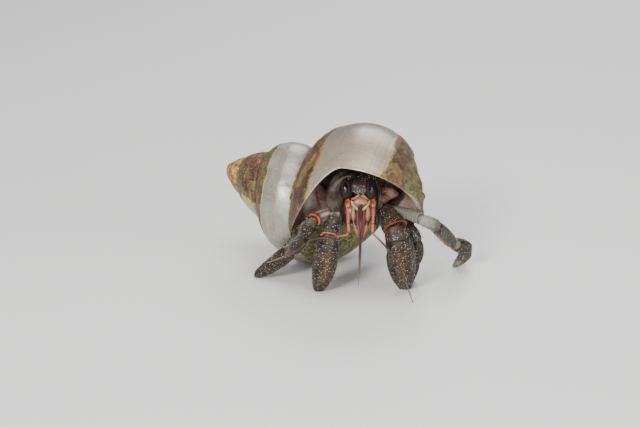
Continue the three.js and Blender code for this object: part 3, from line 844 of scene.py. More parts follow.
def beside_next_whorls(point, turn, outside):
    """How much painted shade darkens the point beside a seam between whorls, from 0 to 1, and whether
    another whorl buries it.
    """
    seam_shade, buried = 0.0, False
    for other in (turn - 1, turn + 1):
        if other > 0.3 or other < -TURNS:
            continue
        there, fill = whorl_fill(point, other)
        if outside and -TURNS < there < 0:
            seam_shade = max(seam_shade, 0.75 * fall(fill, 1.09, 0.09))
        if not -TURNS <= there <= 0 or fill > BURIED:
            continue
        # near the lip the wall is thin and covers nothing, and a hollow covers nothing either
        thin = there > -0.27
        hollow = there > -HOLLOW_TURNS and fill < inner_fill(there) - 0.02
        buried = buried or other < turn or not (thin or hollow)
    return seam_shade, buried


def make_shell():
    bm = bmesh.new()
    names = ("turn", "pearl", "gold", "silver", "inside", "green", "seam_shade")
    layers = dict(zip(names, point_layers(bm, *names)))
    rings = shell_rings()
    stages = sweep(bm, rings, SHELL_SIDES, shell_place)
    around_at = bm.verts.layers.float["around"]
    hidden = set()
    for (turn, kind), verts in zip(rings, stages):
        outside = kind in ("out", "edge", "middle")
        for vert in verts:
            tints = shell_tints(turn, vert[around_at], kind, vert.co.z)
            # the seam values are painted shade along the lines where whorls meet
            tints["seam_shade"], buried = beside_next_whorls(vert.co, turn, outside)
            for name, value in tints.items():
                vert[layers[name]] = value
            if buried:
                hidden.add(vert)
    close_ends(bm, stages[-1])
    hidden = {v for v in hidden if v.is_valid}
    buried_faces = [f for f in bm.faces if all(v in hidden for v in f.verts)]
    bmesh.ops.delete(bm, geom=buried_faces, context="FACES")
    first = [v for v in stages[0] if v.is_valid]
    if first:
        close_ends(bm, first)
    add_shell_tip(bm, layers)
    add_lip_lumps(bm, layers)
    add_pillar(bm, layers)
    bmesh.ops.delete(bm, geom=[v for v in bm.verts if not v.link_faces], context="VERTS")
    for vert in bm.verts:
        vert.co.z = max(vert.co.z, 0.0)
    finish_piece(bm, "turban_shell", PEARL, "pearl", "shell")


def add_shell_tip(bm, layers):
    """The blunt first whorl."""
    knob = bmesh.ops.create_uvsphere(bm, u_segments=28, v_segments=18, radius=TIP)["verts"]
    bmesh.ops.translate(bm, vec=APEX + AXIS * TIP, verts=knob)
    for vert in knob:
        vert[layers["turn"]], vert[layers["gold"]] = -TURNS, 1.0


def add_lip_lumps(bm, layers):
    """Lumps of crust on the lip's outer side."""
    for place, size in (((20.2, 1.7, 19.9), 1.0), ((19.6, 2.3, 21.9), 0.75),
                        ((19.9, 2.0, 18.2), 0.75), ((19.2, 2.6, 23.4), 0.6)):
        lump = bmesh.ops.create_uvsphere(bm, u_segments=24, v_segments=16, radius=size)["verts"]
        bmesh.ops.scale(bm, vec=(0.85, 0.9, 1.15), verts=lump)
        for vert in lump:
            vert.co *= 1 + 0.16 * noise.noise(vert.co * 1.7 / size + Vector((3, 1, 2)))
            vert[layers["green"]], vert[layers["turn"]] = 0.8, -0.05
        bmesh.ops.translate(bm, vec=place, verts=lump)


def add_pillar(bm, layers):
    """The pillar that the whorls wind round."""
    stops = np.concatenate([np.linspace(-3.9, -1.05, 30), np.linspace(-0.98, -0.14, 23)]).tolist()

    def place(turn, around):
        radius = PILLAR * WHORL_REACH * growth(turn) if turn < -1 else COLUMELLA
        return from_axis(distance_down(turn), radius, around)

    stages = sweep(bm, stops, PILLAR_SIDES, place)
    for turn, verts in zip(stops, stages):
        for vert in verts:
            vert[layers["turn"]], vert[layers["green"]] = turn, 1.0
            vert[layers["inside"]] = 1.0 if turn < -0.2 else 0.0
    close_ends(bm, stages[0], stages[-1])


# ---------------------------------------------------------------- body and head

PLATE = [(0, 0.7), (0.1, 0.9), (0.45, 1), (0.85, 0.95), (1, 0.75)]
WIDENING = [(0, 0.4), (0.15, 0.6), (0.5, 0.8), (0.85, 1), (1, 1.02)]
CARPUS = [(0, 0.9), (0.25, 0.96), (0.5, 1), (1, 1.0)]
STALK_SHAPE = [(0, 0.6), (0.25, 0.8), (0.6, 0.98), (0.8, 1), (1, 0.72)]
SHIELD = [(0, 0.12), (0.04, 0.36), (0.18, 0.58), (0.42, 0.88), (0.62, 1), (0.84, 0.8), (0.95, 0.5),
          (1, 0.15)]
PALM = [(0, 0.92), (0.1, 0.97), (0.32, 1), (0.55, 0.93), (0.78, 0.68), (0.93, 0.44), (1, 0.16)]
FINGER = [(0, 0.6), (0.12, 0.95), (0.35, 1), (0.7, 0.8), (0.92, 0.52), (1, 0.2)]
BLUNT = [(0, 0.62), (0.14, 0.85), (0.4, 1), (0.62, 0.86), (0.85, 0.55), (1, 0.18)]
STRIP = [(0, 0.5), (0.2, 1), (0.8, 1), (1, 0.7)]
ACROSS, DOWN, SIDE = (0, 1, 0), (1, 0, 0), (0, 0, 1)    # ways that a section's wide side faces
FRONT, BACK = -math.pi / 2, math.pi / 2                 # angles round a limb that faces DOWN


def egg(s):
    return math.sin(math.pi * min(max(s, 0.0), 1.0)) ** 0.62


def facing(a, way, width=0.6):
    """1 on the side of a limb that lies at way round it."""
    off = math.atan2(math.sin(a - way), math.cos(a - way)) / width
    return math.exp(-off * off)


def wave(x, low, over):
    """A sine's crests, from 0 to 1."""
    return rise(math.sin(x), low, over)


def beside(middle, hand, points):
    """Points whose X is a distance from the middle, on the side that hand gives."""
    return [[middle + hand * x, y, z] for x, y, z in points]


def make_carapace():
    bm = bmesh.new()
    groove = lambda s, a: -0.06 * between(s, 0.60, 0.63, 0.05) + 0.02 * math.sin(3 * a) * math.sin(9 * s)
    shield = Length([[8.1, -0.1, 20.9], [8.1, 1.0, 22.5], [8.5, 4.0, 23.3], [9.3, 8.3, 23.5]],
                    3.9, 1.6, SHIELD, square=2.3, relief=groove)
    sweep_length(bm, shield, egg_rings(54), 64, ochre=lambda s, a: 0.4 * rise(s, 0.6, 0.2),
                 pale=lambda s, a: 0.25 * rise(s, 0.75, 0.2))
    add_grains(bm, shield, 0.4, 0.11, lambda s, a: 0.9 * fall(s, 0.66, 0.15), 0.1, 0.7)
    # painted highlights: tiny pale-topped grains on the front of the shield stand for glints
    add_grains(bm, shield, 0.11, 0.08, lambda s, a: 0.5, 0.004, 0.1, dullest=0.5)
    finish_piece(bm, "front_shield", CARAPACE, "carapace", "shield")
    bm = bmesh.new()
    rear = Length([[9.4, 8.0, 22.6], [9.9, 10.6, 22.4], [10.2, 13.6, 21.4]], 4.2, 2.2, egg)
    sweep_length(bm, rear, egg_rings(28), 44)
    finish_piece(bm, "rear_carapace", FLANK, "flank", "carapace_rear")


def make_flanks():
    """Each flank: a soft sheet along the body, and its front edge that hangs in folds."""
    edges = {
        "right": [[8.4, 3.8, 23.4], [6.6, 3.0, 24.2], [4.5, 2.6, 23.6], [3.0, 1.95, 21.2],
                  [2.9, 1.8, 18.0], [4.2, 0.9, 13.8]],
        "left": [[10.9, 2.5, 23.3], [11.9, 2.0, 21.6], [12.0, 1.7, 18.8], [11.6, 1.2, 15.8],
                 [11.5, 0.4, 13.4]],
    }
    for side, x, top, wide, dark_way in (("right", 4.45, 5.3, 1.55, 0), ("left", 11.9, 11.3, 0.6, 3)):
        bm = bmesh.new()
        flank = Length([[top, 4.6, 23.4], [x, 4.0, 21.0], [x, 4.2, 17.5], [x, 4.6, 14.6]], 0.52,
                       2.5, egg, relief=lambda s, a: 0.10 * math.sin(9 * a + 3 * s))
        sweep_length(bm, flank, egg_rings(36), 44)

        def pleats(s, a):
            lump = noise.noise(Vector((6 * s, 2.2 * math.cos(a), 1.5 * math.sin(a) + 4)))
            fold = math.sin(4.2 * math.cos(a) + 5 * s + 2 * lump)
            return (0.22 * fold + 0.35 * lump) * abs(math.sin(a)) + 0.12 * lump

        # painted shade on the skirt: dark along its top under the lip, and on one side
        def shade(s, a):
            return max(fall(s, 0.42, 0.2), 0.7 * rise(math.cos(a + dark_way), 0, 0.8))

        hem = [(0, 0.5), (0.2, 0.8), (0.45, 1), (0.75, 0.8), (1, 0.35)]
        skirt = Length(edges[side], wide, 0.5, hem, relief=pleats)
        sweep_length(bm, skirt, egg_rings(60), 72, ochre=shade)
        finish_piece(bm, f"flank_fold_{side}", FLANK, "flank", f"flank_{side}")


def make_soft_body():
    """Thorax, belly and the short hidden legs, grown together into one skin."""
    chest = Length([[8.2, 1.9, 17.2], [8.7, 5.6, 17.2], [9.6, 10.6, 18.0]], 2.95, 2.75, egg)
    belly = Length([[9.8, 9.6, 18.4], [9.9, 12.2, 19.0], [9.7, 17.8, 18.6], [8.6, 20.9, 15.6],
                    [6.4, 21.8, 11.8], [4.2, 21.2, 9.6]], 4.35, 4.35,
                   [(0, 0.3), (0.1, 0.5), (0.3, 0.92), (0.5, 1), (0.72, 0.75), (0.92, 0.4), (1, 0.05)])
    lobes = (([[8.5, 4.6, 16.4], [5.4, 5.0, 15.4], [3.0, 5.4, 14.9], [1.2, 4.8, 14.8]], 1.55),
             ([[8.6, 4.6, 16.4], [11.4, 4.8, 15.6], [13.6, 5.2, 15.2], [15.4, 4.6, 15.0]], 1.5),
             ([[9.0, 5.4, 17.6], [11.6, 4.6, 18.2], [14.2, 4.6, 18.7]], 1.35),
             ([[9.2, 6.2, 18.4], [12.2, 6.6, 18.9], [16.2, 7.2, 18.6]], 1.5),
             ([[8.0, 2.6, 15.2], [8.0, 1.4, 14.2], [8.0, 0.9, 12.9]], 1.3))
    lengths = [(chest, 24), (belly, 40)]
    lengths += [(Length(points, size, size, egg), 22) for points, size in lobes]
    for _, hand in SIDES:
        for points, size in (
                ([[2.0, 9.6, 17.0], [3.2, 9.8, 17.0], [4.8, 10.4, 17.6], [5.6, 9.2, 19.4]], 0.68),
                ([[1.8, 11.2, 16.8], [2.8, 11.4, 16.6], [4.7, 12.4, 16.6], [5.5, 13.0, 18.6]], 0.5)):
            lengths.append((Length(beside(9.2, hand, points), size, size, PLATE), 14))
    bm = bmesh.new()
    for length, steps in lengths:
        sweep_length(bm, length, egg_rings(steps), 24)
    body = finish_piece(bm, "soft_body", FLESH, "flesh", "thorax", "abdomen", "leg4_right",
                        "leg4_left", "leg5_right", "leg5_left")
    join = body.modifiers.new("grown together", "REMESH")
    join.mode = "VOXEL"
    join.voxel_size = 0.28 * MM
    join.use_smooth_shade = True
    relax = body.modifiers.new("softened", "SMOOTH")
    relax.factor = 0.5
    relax.iterations = 6


def make_eyes():
    eyeball = lambda s: math.sqrt(max(1 - (max(s - 0.1, 0) / 0.92) ** 2, 0.0004)) * 0.94
    for side, hand in SIDES:
        bm = bmesh.new()
        stalk = Length(beside(7.65, hand, [[1.5, 3.2, 20.4], [2.2, 1.6, 21.3], [2.6, -0.5, 22.3]]),
                       1.2, 2.05, STALK_SHAPE, square=2.1)
        sweep_length(bm, stalk, rim_rings(24, tip=True), 44,
                     pale=lambda s, a: 0.3 * wave(a * 4 + 9 * s, 0.5, 0.5) * fall(s, 0.85, 0.1))
        add_grains(bm, stalk, 0.4, 0.06, lambda s, a: 0.4)
        finish_piece(bm, f"eyestalk_plate_{side}", STALK, "carapace", f"eyestalk_{side}")
        bm = bmesh.new()
        ball = Length(beside(7.65, hand, [[2.5, -0.15, 22.2], [2.72, -1.2, 22.75]]), 0.6, 1.35,
                      eyeball, square=2.1)
        rings = [(0.02, 0.5), (0.01, 0.9), (0.05, 1.0), (0.1, 1.0)]
        rings += [(0.1 + 0.88 * math.sin(math.pi / 2 * (i + 1) / 16), 1.0) for i in range(16)]
        sweep_length(bm, ball, rings, 40)
        finish_piece(bm, f"eye_{side}", CORNEA, "cornea", f"cornea_{side}")


def make_feelers():
    middle = 8.0
    stalk_shape = [(0, 0.9), (0.08, 1.25), (0.17, 1.42), (0.26, 1.2), (0.31, 0.82), (0.4, 0.88),
                   (0.66, 0.84), (0.72, 0.95), (0.78, 0.8), (0.9, 0.88), (1, 0.75)]
    ring_tint = lambda s, a: max(between(s, 0.27, 0.33, 0.04), between(s, 0.74, 0.78, 0.04),
                                 0.9 * between(s, 0.1, 0.2, 0.04) * facing(a, FRONT, 0.5))
    for cell, (side, hand) in enumerate(SIDES, 40):
        bm = bmesh.new()
        base = Length(beside(middle, hand, [[2.5, 0.1, 19.9], [2.55, -1.2, 18.7], [2.35, -4.3, 14.5]]),
                      0.41, 0.46, stalk_shape)
        # the pale tint is a painted highlight, on the same side of both stalks
        sweep_length(bm, base, rim_rings(40), 28, orange=ring_tint,
                     pale=lambda s, a: 0.6 * wave(a + 2.6, 0.5, 0.5))
        finish_piece(bm, f"feeler_stalk_{side}", ORANGE, "antenna_orange", f"antenna_base_{side}")
        places = [(0.3 + 0.1 * i, -1.5 + chance.uniform(-1, 1)) for i in range(7)]
        grow_tufts(cell, base, places, 0.5, hairs=2)
    whips = {
        "antenna_right": [[5.5, -4.45, 14.35], [5.4, -4.7, 14.1], [1.4, -5.6, 13.9],
                          [-1.8, -6.0, 13.3], [-5.4, -6.3, 10.8], [-10.5, -6.0, 8.6]],
        "antenna_left": [[10.5, -4.4, 14.4], [10.6, -4.6, 14.2], [13.2, -6.4, 11.9],
                         [16.4, -6.6, 6.5], [18.6, -5.9, 0.0]],
    }
    for name, points in whips.items():
        whip = Length(points, 0.25, 0.25, [(0, 1.0), (0.06, 0.9), (0.5, 0.72), (1, 0.42)],
                      face=ACROSS, square=2.0)
        make_whip(f"{name}_whip", name, whip, 0.5, root_tint=0.5)
    for side, hand in SIDES:
        points = beside(middle, hand, [[0.3, -0.1, 18.4], [0.24, -3.0, 16.4], [0.16, -4.8, 13.0]])
        points.append([middle + hand * 0.12 - 0.2, -6.9 + hand * 0.4, 5.2 + hand * 0.9])
        rod = Length(points, 0.18, 0.18, [(0, 1.1), (0.3, 0.9), (0.36, 1.05), (0.6, 0.85),
                                          (0.65, 1.0), (0.8, 0.8), (1, 0.4)], square=2.0)
        make_whip(f"antennule_rod_{side}", f"antennule_{side}", rod, 0.3)


def make_whip(name, node, whip, ring_step, root_tint=0.0):
    """A ringed feeler: each ring stands a little proud."""
    bm = bmesh.new()
    count = int(whip.curve.length / ring_step)
    rings = [(0.0, 0.3), (0.0, 0.9)]
    rings += [((i + share) / count, shrink) for i in range(count)
              for share, shrink in ((0.1, 0.86), (0.3, 1.0), (0.7, 1.0), (0.9, 0.86))]
    rings += [(0.997, 0.6), (1.0, 0.25)]
    reach_at, = point_layers(bm, "reach")
    stages = sweep_length(bm, whip, rings, 10, on_floor=True,
                          orange=lambda s, a: root_tint * fall(s, 0.2, 0.15),
                          pale=lambda s, a: 0.3 * rise(s, 0.6, 0.4))
    for (s, _), verts in zip(rings, stages):
        for vert in verts:
            if vert.is_valid:
                vert[reach_at] = s * whip.curve.length
    finish_piece(bm, name, FEELER, "feeler", node)


def make_mouthparts():
    middle = 8.1
    bm = bmesh.new()
    mask = Length([[middle, 0.6, 20.9], [middle, 0.1, 19.2], [middle, 0.9, 17.5]], 1.85, 0.75,
                  [(0, 0.12), (0.25, 0.5), (0.52, 1), (0.6, 0.97), (0.8, 0.6), (1, 0.2)], square=2.0)
    sweep_length(bm, mask, egg_rings(30), 44, orange=lambda s, a: 0.12 * fall(s, 0.45, 0.2),
                 pale=lambda s, a: 0.35 * between(s, 0.3, 0.5, 0.15))
    back = Length([[middle, 1.5, 18.2], [middle, 1.2, 16.4], [middle, 1.3, 14.4]], 1.9, 0.8, egg)
    sweep_length(bm, back, egg_rings(20), 30, orange=0.9)
    # painted shade: a near-black egg in front of the mask stands for the dark inside a hole
    hole_shade = Length([[middle, -0.62, 19.0], [middle, -0.85, 18.7]], 0.42, 0.34, egg)
    sweep_length(bm, hole_shade, egg_rings(8), 16, ochre=1.0)
    for _, hand in SIDES:
        for points, wide, deep, pale in (
                ([[1.95, 0.25, 19.6], [1.25, -0.3, 18.5], [0.1, -0.45, 17.6]], 0.24, 0.3, 1.0),
                ([[1.9, 0.25, 19.8], [1.0, -0.15, 20.3], [0.25, -0.3, 21.0]], 0.2, 0.26, 0.25)):
            brim = Length(beside(middle, hand, points), wide, deep, STRIP, face=ACROSS)
            sweep_length(bm, brim, egg_rings(20), 16, pale=pale)
    finish_piece(bm, "mouth_mask", MOUTH, "mouth", "mouth_frame")
    jaw_shape = [(0, 0.8), (0.12, 1), (0.38, 1.0), (0.42, 0.8), (0.47, 0.95), (0.66, 0.85),
                 (0.7, 0.68), (0.75, 0.8), (0.9, 0.6), (1, 0.3)]
    for cell, (side, hand) in enumerate(SIDES, 42):
        bm = bmesh.new()
        jaw = Length(beside(middle, hand, [[1.55, 0.1, 18.0], [1.35, -1.9, 15.7], [0.5, -3.3, 13.0]]),
                     0.46, 0.62, jaw_shape)
        sweep_length(bm, jaw, rim_rings(40, tip=True), 24,
                     orange=lambda s, a: max(rise(s, 0.74, 0.15), between(s, 0.40, 0.44, 0.03)),
                     ochre=lambda s, a: between(s, 0.46, 0.6, 0.05),
                     pale=lambda s, a: 0.7 * fall(s, 0.4, 0.1))
        palp = Length(beside(middle, hand, [[0.62, -0.1, 17.7], [0.5, -1.9, 15.6], [0.42, -3.2, 13.5]]),
                      0.2, 0.4, [(0, 0.7), (0.3, 1), (0.7, 0.9), (1, 0.4)])
        sweep_length(bm, palp, rim_rings(24, tip=True), 16, orange=lambda s, a: 0.55 + 0.3 * s, pale=0.35)
        finish_piece(bm, f"jaw_leg_{side}", MOUTH, "mouth", f"maxilliped_{side}")
        places = [(0.5 + 0.05 * i, chance.uniform(-3, 3)) for i in range(9)]
        grow_tufts(cell, jaw, places, 0.55, hairs=3, lean=0.9)


# ---------------------------------------------------------------- limbs

# Each plate: the points that it follows, how wide it is, and how deep.
LIMBS = {
    "claw_right": {
        "hip": ([[6.2, 4.6, 13.4], [3.9, 4.4, 15.9]], 1.1, 1.0),
        "merus": ([[3.4, 4.1, 16.5], [2.9, 1.0, 15.7], [2.2, -1.6, 13.6]], 1.7, 1.3),
        "carpus": ([[2.2, -2.0, 13.2], [1.8, -2.2, 11.4]], 2.0, 1.6),
        "finger": ([[2.9, -1.6, 8.2], [1.9, -1.0, 4.4], [0.0, 1.0, -0.25]], 1.0, 1.2),
        "palm": ([[1.7, -2.0, 11.2], [0.9, -1.4, 6.6], [-0.6, 1.0, -0.3]], 2.4, 2.1),
    },
    "claw_left": {
        "hip": ([[10.6, 4.6, 13.4], [12.8, 4.4, 16.2]], 1.2, 1.0),
        "merus": ([[12.6, 4.2, 16.9], [13.5, 1.2, 16.4], [14.7, -1.2, 15.0]], 2.55, 1.6),
        "carpus": ([[15.1, -1.7, 14.6], [15.5, -1.8, 12.4]], 2.45, 2.2),
        "finger": ([[14.2, -1.2, 9.4], [14.9, -0.4, 5.2], [16.9, 2.4, -0.25]], 1.15, 1.5),
        "palm": ([[15.7, -1.5, 12.2], [16.6, -0.5, 7.2], [17.7, 2.6, -0.3]], 2.8, 2.9),
    },
    "leg2_right": {
        "hip": ([[6.0, 6.8, 13.6], [3.9, 6.4, 14.6]], 1.0, 1.0),
        "merus": ([[3.6, 6.1, 15.0], [1.6, 3.2, 15.9], [-0.8, 0.9, 15.5]], 1.1, 1.5),
        "carpus": ([[-1.2, 0.6, 15.2], [-2.6, 1.3, 13.2], [-3.4, 2.0, 11.6]], 1.6, 1.4),
        "propodus": ([[-3.5, 2.1, 11.4], [-4.8, 3.4, 9.0], [-5.9, 5.0, 7.3]], 1.6, 1.4),
        "dactyl": ([[-6.0, 5.2, 7.0], [-9.4, 7.0, 3.6], [-13.6, 8.6, 0.1]], 1.7, 1.5),
    },
    "leg3_right": {
        "hip": ([[6.2, 8.8, 14.4], [4.2, 8.8, 14.4]], 0.9, 0.9),
        "merus": ([[3.9, 8.6, 14.2], [0.6, 6.2, 14.0], [-2.2, 4.3, 13.6]], 1.0, 1.1),
        "carpus": ([[-2.6, 4.2, 13.2], [-4.3, 5.2, 10.4]], 1.0, 1.0),
        "propodus": ([[-4.4, 5.3, 10.2], [-6.0, 6.4, 8.0], [-7.6, 7.6, 5.8]], 0.95, 0.9),
        "dactyl": ([[-7.8, 7.8, 5.5], [-9.6, 9.8, 3.0], [-11.6, 12.0, -0.1]], 0.95, 0.9),
    },
    "leg2_left": {
        "hip": ([[10.8, 6.8, 13.6], [12.6, 6.4, 13.9]], 1.0, 1.0),
        "merus": ([[12.9, 6.2, 13.9], [15.8, 4.2, 13.9], [18.0, 2.6, 13.4]], 1.1, 1.1),
        "carpus": ([[18.4, 2.4, 13.1], [19.7, 1.7, 10.3]], 1.2, 1.3),
        "propodus": ([[19.8, 1.8, 10.0], [20.0, 2.4, 7.6], [19.5, 3.9, 5.2]], 1.1, 1.3),
        "dactyl": ([[19.5, 4.1, 5.0], [19.3, 5.6, 2.6], [18.9, 6.8, -0.2]], 1.0, 1.1),
    },
    "leg3_left": {
        "hip": ([[10.8, 8.8, 14.4], [12.6, 7.4, 15.4]], 0.9, 0.9),
        "merus": ([[13.0, 6.6, 15.6], [16.2, 1.2, 16.9], [19.7, -2.2, 16.7]], 1.15, 1.15),
        "carpus": ([[20.1, -2.4, 16.4], [22.4, -0.9, 15.1], [23.3, 1.6, 13.6]], 1.25, 1.25),
        "propodus": ([[23.5, 2.0, 13.3], [25.6, 5.8, 10.2], [27.3, 9.4, 7.3]], 1.45, 1.2),
        "dactyl": ([[27.6, 9.9, 6.9], [30.2, 12.2, 5.0], [30.2, 13.9, 2.6], [28.1, 14.6, -0.15]],
                   1.65, 1.5),
    },
}
PROFILES = {"hip": PLATE, "merus": WIDENING, "carpus": PLATE, "propodus": PLATE, "palm": PALM,
            "finger": FINGER, "dactyl": FINGER}
# How orange each plate's rims are: the root's, then the end's.
RIMS = {"hip": (0.3, 0.2), "merus": (0.1, 0.95), "carpus": (0.2, 0.0), "palm": (0.0, 0.0),
        "finger": (0.25, 0.0), "propodus": (0.1, 0.1), "dactyl": (0.9, 0.0)}
PLAIN_RIM = (0.12, 0.05)
PLAIN_RIMS = {("leg3_left", "merus"), ("leg3_left", "carpus"), ("leg2_left", "merus"),
              ("leg2_left", "carpus"), ("leg2_left", "propodus"), ("leg2_left", "dactyl")}
# plates whose pale streaks are a painted highlight on their upper sides
PAINTED_LIGHT_BASES = {("leg2_right", "hip"), ("leg2_right", "merus"), ("claw_right", "merus")}
# Long hairs hang from these plates: the way round it, and their reach.
LONG_HAIRS = {("leg2_right", "dactyl"): (-0.3, 1.4), ("claw_right", "finger"): (-0.3, 0.9),
              ("leg2_right", "propodus"): (-0.3, 0.9), ("leg3_left", "propodus"): (math.pi, 1.0)}
TUCK, NECK = 0.6, 1.4           # a plate's root sits this deep in the one before, and widens
HOOD = {"claw_right": 1.2, "claw_left": 0.9}    # how far each merus reaches over its carpus
SHORT_HOOD = 0.5


def limb_tints(limb, part, reach):
    """Orange, pale and ochre tints of one plate, as functions of place and round."""
    plate = limb, part
    root, end = PLAIN_RIM if plate in PLAIN_RIMS else RIMS[part]
    hand = -1 if limb.endswith("right") else 1
    inward = -0.5 if hand < 0 else math.pi + 0.5    # the inner side, near the front

    def orange(s, a):
        ragged = 0.6 + 0.25 * math.sin(7 * a + 1.3) * math.sin(3 * a) + 0.15 * math.sin(19 * a)
        rim = max(root * between(s * reach, 0.66, 0.86 + 0.1 * ragged, 0.2) * ragged,
                  end * fall((1 - s) * reach, 0.08 + 0.28 * ragged, 0.16) * (0.5 + 0.5 * ragged))
        if plate == ("leg3_left", "dactyl"):
            rim = max(rim, 0.4 * between(s * reach, 0.7, 1.0 + 0.3 * ragged, 0.25))
        if part == "palm":
            rim = max(rim, 0.5 * facing(a, inward, 0.3) * rise(s, 0.78, 0.12) * fall(s, 0.99, 0.04))
        if part == "finger":
            rim = max(rim, 0.8 * facing(a, inward, 0.4) * rise(s, 0.3, 0.15))
        return rim

    def pale(s, a):
        streaks = 0.6 + 0.4 * math.sin(6 * a + 3 * s)
        tones = [0.04 * wave(3 * a + 9 * s, 0.2, 0.8)]
        if part in ("palm", "finger"):
            tones.append(0.35 * rise(s, 0.93, 0.06))
        if part == "finger":
            tones.append(0.6 * facing(a, inward, 0.22) * rise(s, 0.4, 0.2))
        if part == "dactyl":
            tones.append(0.5 * rise(s, 0.7 if limb == "leg3_left" else 0.9, 0.15))
        # painted highlight: pale streaks along the upper sides of these two merus plates
        if plate == ("leg2_right", "merus"):
            tones.append(streaks * fall(s, 0.97, 0.2))
        if plate == ("claw_right", "merus"):
            tones.append(0.8 * streaks * fall(s, 0.55, 0.2))
        # a pale streak along the outer upper edge: partly the leg's own tan band, partly a painted
        # highlight
        if plate in (("leg2_right", "carpus"), ("leg2_right", "propodus")):
            tones.append(0.55 * streaks * facing(a, -2.75 + 0.2 * math.sin(9 * s), 0.3))
        if plate == ("leg3_left", "merus"):
            tones.append(0.55)
        if plate in (("leg3_left", "carpus"), ("leg3_left", "propodus")):
            tones.append(0.45 * facing(a, math.pi, 0.4))
        if plate == ("leg3_left", "carpus"):
            tones.append(0.85 * fall(s, 0.75, 0.5))
        if plate == ("leg3_left", "dactyl"):
            tones.append(0.7 * between(s * reach, 0.6, 1.2 + 0.3 * math.sin(3 * a), 0.3))
        return max(tones)

    def ochre(s, a):
        if part == "palm":
            return 0.5 * facing(a, FRONT - hand * 0.1, 0.35) * between(s, 0.15, 0.7, 0.2)
        return 0.2 * facing(a, FRONT, 0.5) * wave(14 * s, -0.4, 1.4)

    return {"orange": orange, "pale": pale, "ochre": ochre}


def make_plate_length(limb, part, points, wide, deep):
    """A plate's Length. Its root sits on a neck inside the plate before it, and a merus
    reaches over its carpus as a hood."""
    claw, profile = limb.startswith("claw"), PROFILES[part]
    if part == "carpus" and claw:
        profile = CARPUS
    if (limb, part) == ("leg3_left", "dactyl"):
        profile = BLUNT
    face = DOWN
    if limb == "leg3_left" or (part == "merus" and not claw):
        face = SIDE
    if part == "hip":
        face = ACROSS
    hood = HOOD.get(limb, SHORT_HOOD)
    neck = NECK
    if part == "carpus":
        neck = TUCK + hood + 0.9
    has_neck = part not in ("hip", "finger")
    points = [Vector(p) for p in points]
    if has_neck:
        points[0] = points[0] + (points[0] - points[1]).normalized() * TUCK
    if part == "merus":
        points[-1] = points[-1] + (points[-1] - points[-2]).normalized() * hood
    ridge = lambda s, a: 0.03 * math.sin(5 * a) * math.sin(math.pi * s)
    length = Length(points, wide, deep, profile, face, square=2.4, relief=ridge)
    if has_neck:
        full, reach = length.radius, length.curve.length
        slim = 0.76 if neck > NECK + SHORT_HOOD else 0.84
        length.radius = lambda s: full(s) * (slim + (1 - slim) * rise(s * reach, 0, neck))
    return length


def grow_limb_hairs(cell, length, limb, part, reach):
    if part not in ("hip", "merus"):
        places = [(chance.uniform(0.15, 0.92), BACK + chance.uniform(-1.7, 1.7))
                  for _ in range(int(reach * 2.2))]
        grow_tufts(cell, length, places, 0.6, hairs=3, radius=0.028)
    if (limb, part) in LONG_HAIRS:
        way, hair_reach = LONG_HAIRS[limb, part]
        places = [(chance.uniform(0.2, 0.8), way + chance.uniform(-0.25, 0.25))
                  for _ in range(int(reach * 2.4))]
        grow_tufts(cell, length, places, hair_reach, lean=0.1, hairs=1, spread=0.25, radius=0.04)


def link_plates(bm, before, length, pale):
    """Joint skin from inside one plate to inside the next."""
    ends = [before.curve.at(0.95), length.curve.at(0.5 * NECK / length.curve.length)]
    first = 0.8 * before.radius(0.95) * min(before.wide, before.deep)
    last = 0.85 * length.radius(0.1) * min(length.wide, length.deep)
    link = Length(ends, 1.0, 1.0, lambda s: first + (last - first) * s, length.face)
    rings = [(0.0, 0.4), (0.0, 0.95), (0.25, 1.0), (0.75, 1.0), (1.0, 0.95), (1.0, 0.4)]
    sweep_length(bm, link, rings, 28, pale=pale)


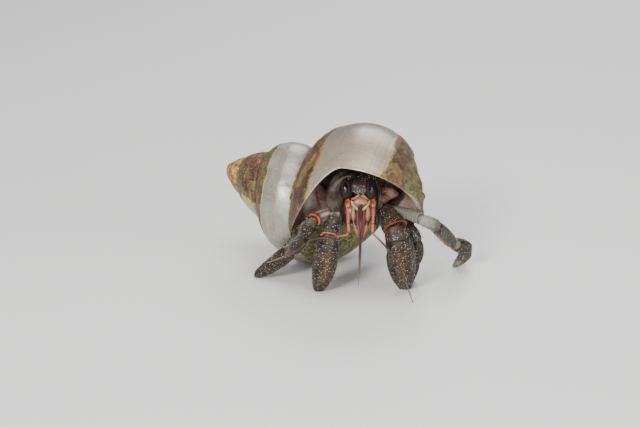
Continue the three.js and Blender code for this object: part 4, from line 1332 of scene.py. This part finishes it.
def make_limb(limb, plates, first_cell):
    claw, greyish = limb.startswith("claw"), limb == "leg3_left"
    before, joint_skin = None, bmesh.new()
    for cell, (part, (points, wide, deep)) in enumerate(plates.items(), first_cell):
        length = make_plate_length(limb, part, points, wide, deep)
        reach = length.curve.length
        tip = part in ("finger", "palm", "dactyl")
        bm = bmesh.new()
        sweep_length(bm, length, rim_rings(max(18, int(reach / 0.25)), tip), 48, on_floor=tip,
                     **limb_tints(limb, part, reach))
        if part != "hip":
            bare = 0.1 if part == "palm" else 0.6
            add_grains(bm, length, 0.37, 0.12 if claw else 0.118,
                       lambda s, a: 0.92 * rise(s * reach, bare, 0.5), start=0.02)
        if (limb, part) == ("leg2_right", "dactyl"):
            add_grains(bm, length, 0.32, 0.14, lambda s, a: facing(a, -0.45, 0.35), dullest=0.8)
        # the bases with a painted highlight get their own finish
        finish = PAINTED_LIGHT_LEG if (limb, part) in PAINTED_LIGHT_BASES else CLAW if claw else LEG
        finish_piece(bm, f"{limb}_{part}_plate", finish, "claw_plate" if claw else "leg_plate",
                     f"{limb}_{part}")
        grow_limb_hairs(cell, length, limb, part, reach)
        if part != "finger":
            if before:
                link_plates(joint_skin, before, length, 0.45 if greyish else 0.0)
            before = length
    finish_piece(joint_skin, f"{limb}_joint_skin", LEG if greyish else MEMBRANE, "antenna_orange")


# ---------------------------------------------------------------- studio

def make_studio():
    bm = bmesh.new()
    bmesh.ops.create_grid(bm, x_segments=2, y_segments=2, size=3.0)
    plain = Finish("pale floor", Roughness=0.55, Base_Color=opaque((0.80, 0.785, 0.76)))
    add_object(bm, "floor", plain.material)

    world = bpy.data.worlds.new("studio air")
    bpy.context.scene.world = world
    world.use_nodes = True
    air = world.node_tree.nodes["Background"]
    air.inputs["Color"].default_value = opaque((0.9, 0.93, 1.0))
    air.inputs["Strength"].default_value = 0.4

    target = Vector((0, -0.004, 0.012))
    for name, place, size, power in (
            ("key light", (-0.20, -0.40, 0.27), 0.11, 2.5),
            ("top light", (0.02, -0.05, 0.50), 0.34, 1.5),
            ("front light", (0.06, -0.50, 0.10), 0.16, 1.3),
            ("fill light", (0.38, -0.26, 0.14), 0.26, 0.8),
            ("back light", (0.10, 0.40, 0.34), 0.30, 1.2)):
        light = bpy.data.lights.new(name, "AREA")
        light.energy, light.size = power, size
        holder = bpy.data.objects.new(name, light)
        holder.location = place
        holder.rotation_euler = (target - Vector(place)).to_track_quat("-Z", "Y").to_euler()
        bpy.context.scene.collection.objects.link(holder)

    lens = bpy.data.cameras.new("camera")
    lens.lens, lens.sensor_width = 100, 36
    lens.clip_start, lens.clip_end = 0.02, 10
    camera = bpy.data.objects.new("camera", lens)
    camera.location = (Vector((0, -336.6, 132.8)) + TO_BOX_MIDDLE) * MM
    camera.rotation_euler = (math.radians(71), 0, 0)
    bpy.context.scene.collection.objects.link(camera)
    bpy.context.scene.camera = camera


make_studio()
make_shell()
make_carapace()
make_flanks()
make_soft_body()
make_eyes()
make_feelers()
make_mouthparts()
for place, (limb, plates) in enumerate(LIMBS.items()):
    make_limb(limb, plates, 5 * place)
make_bristles()
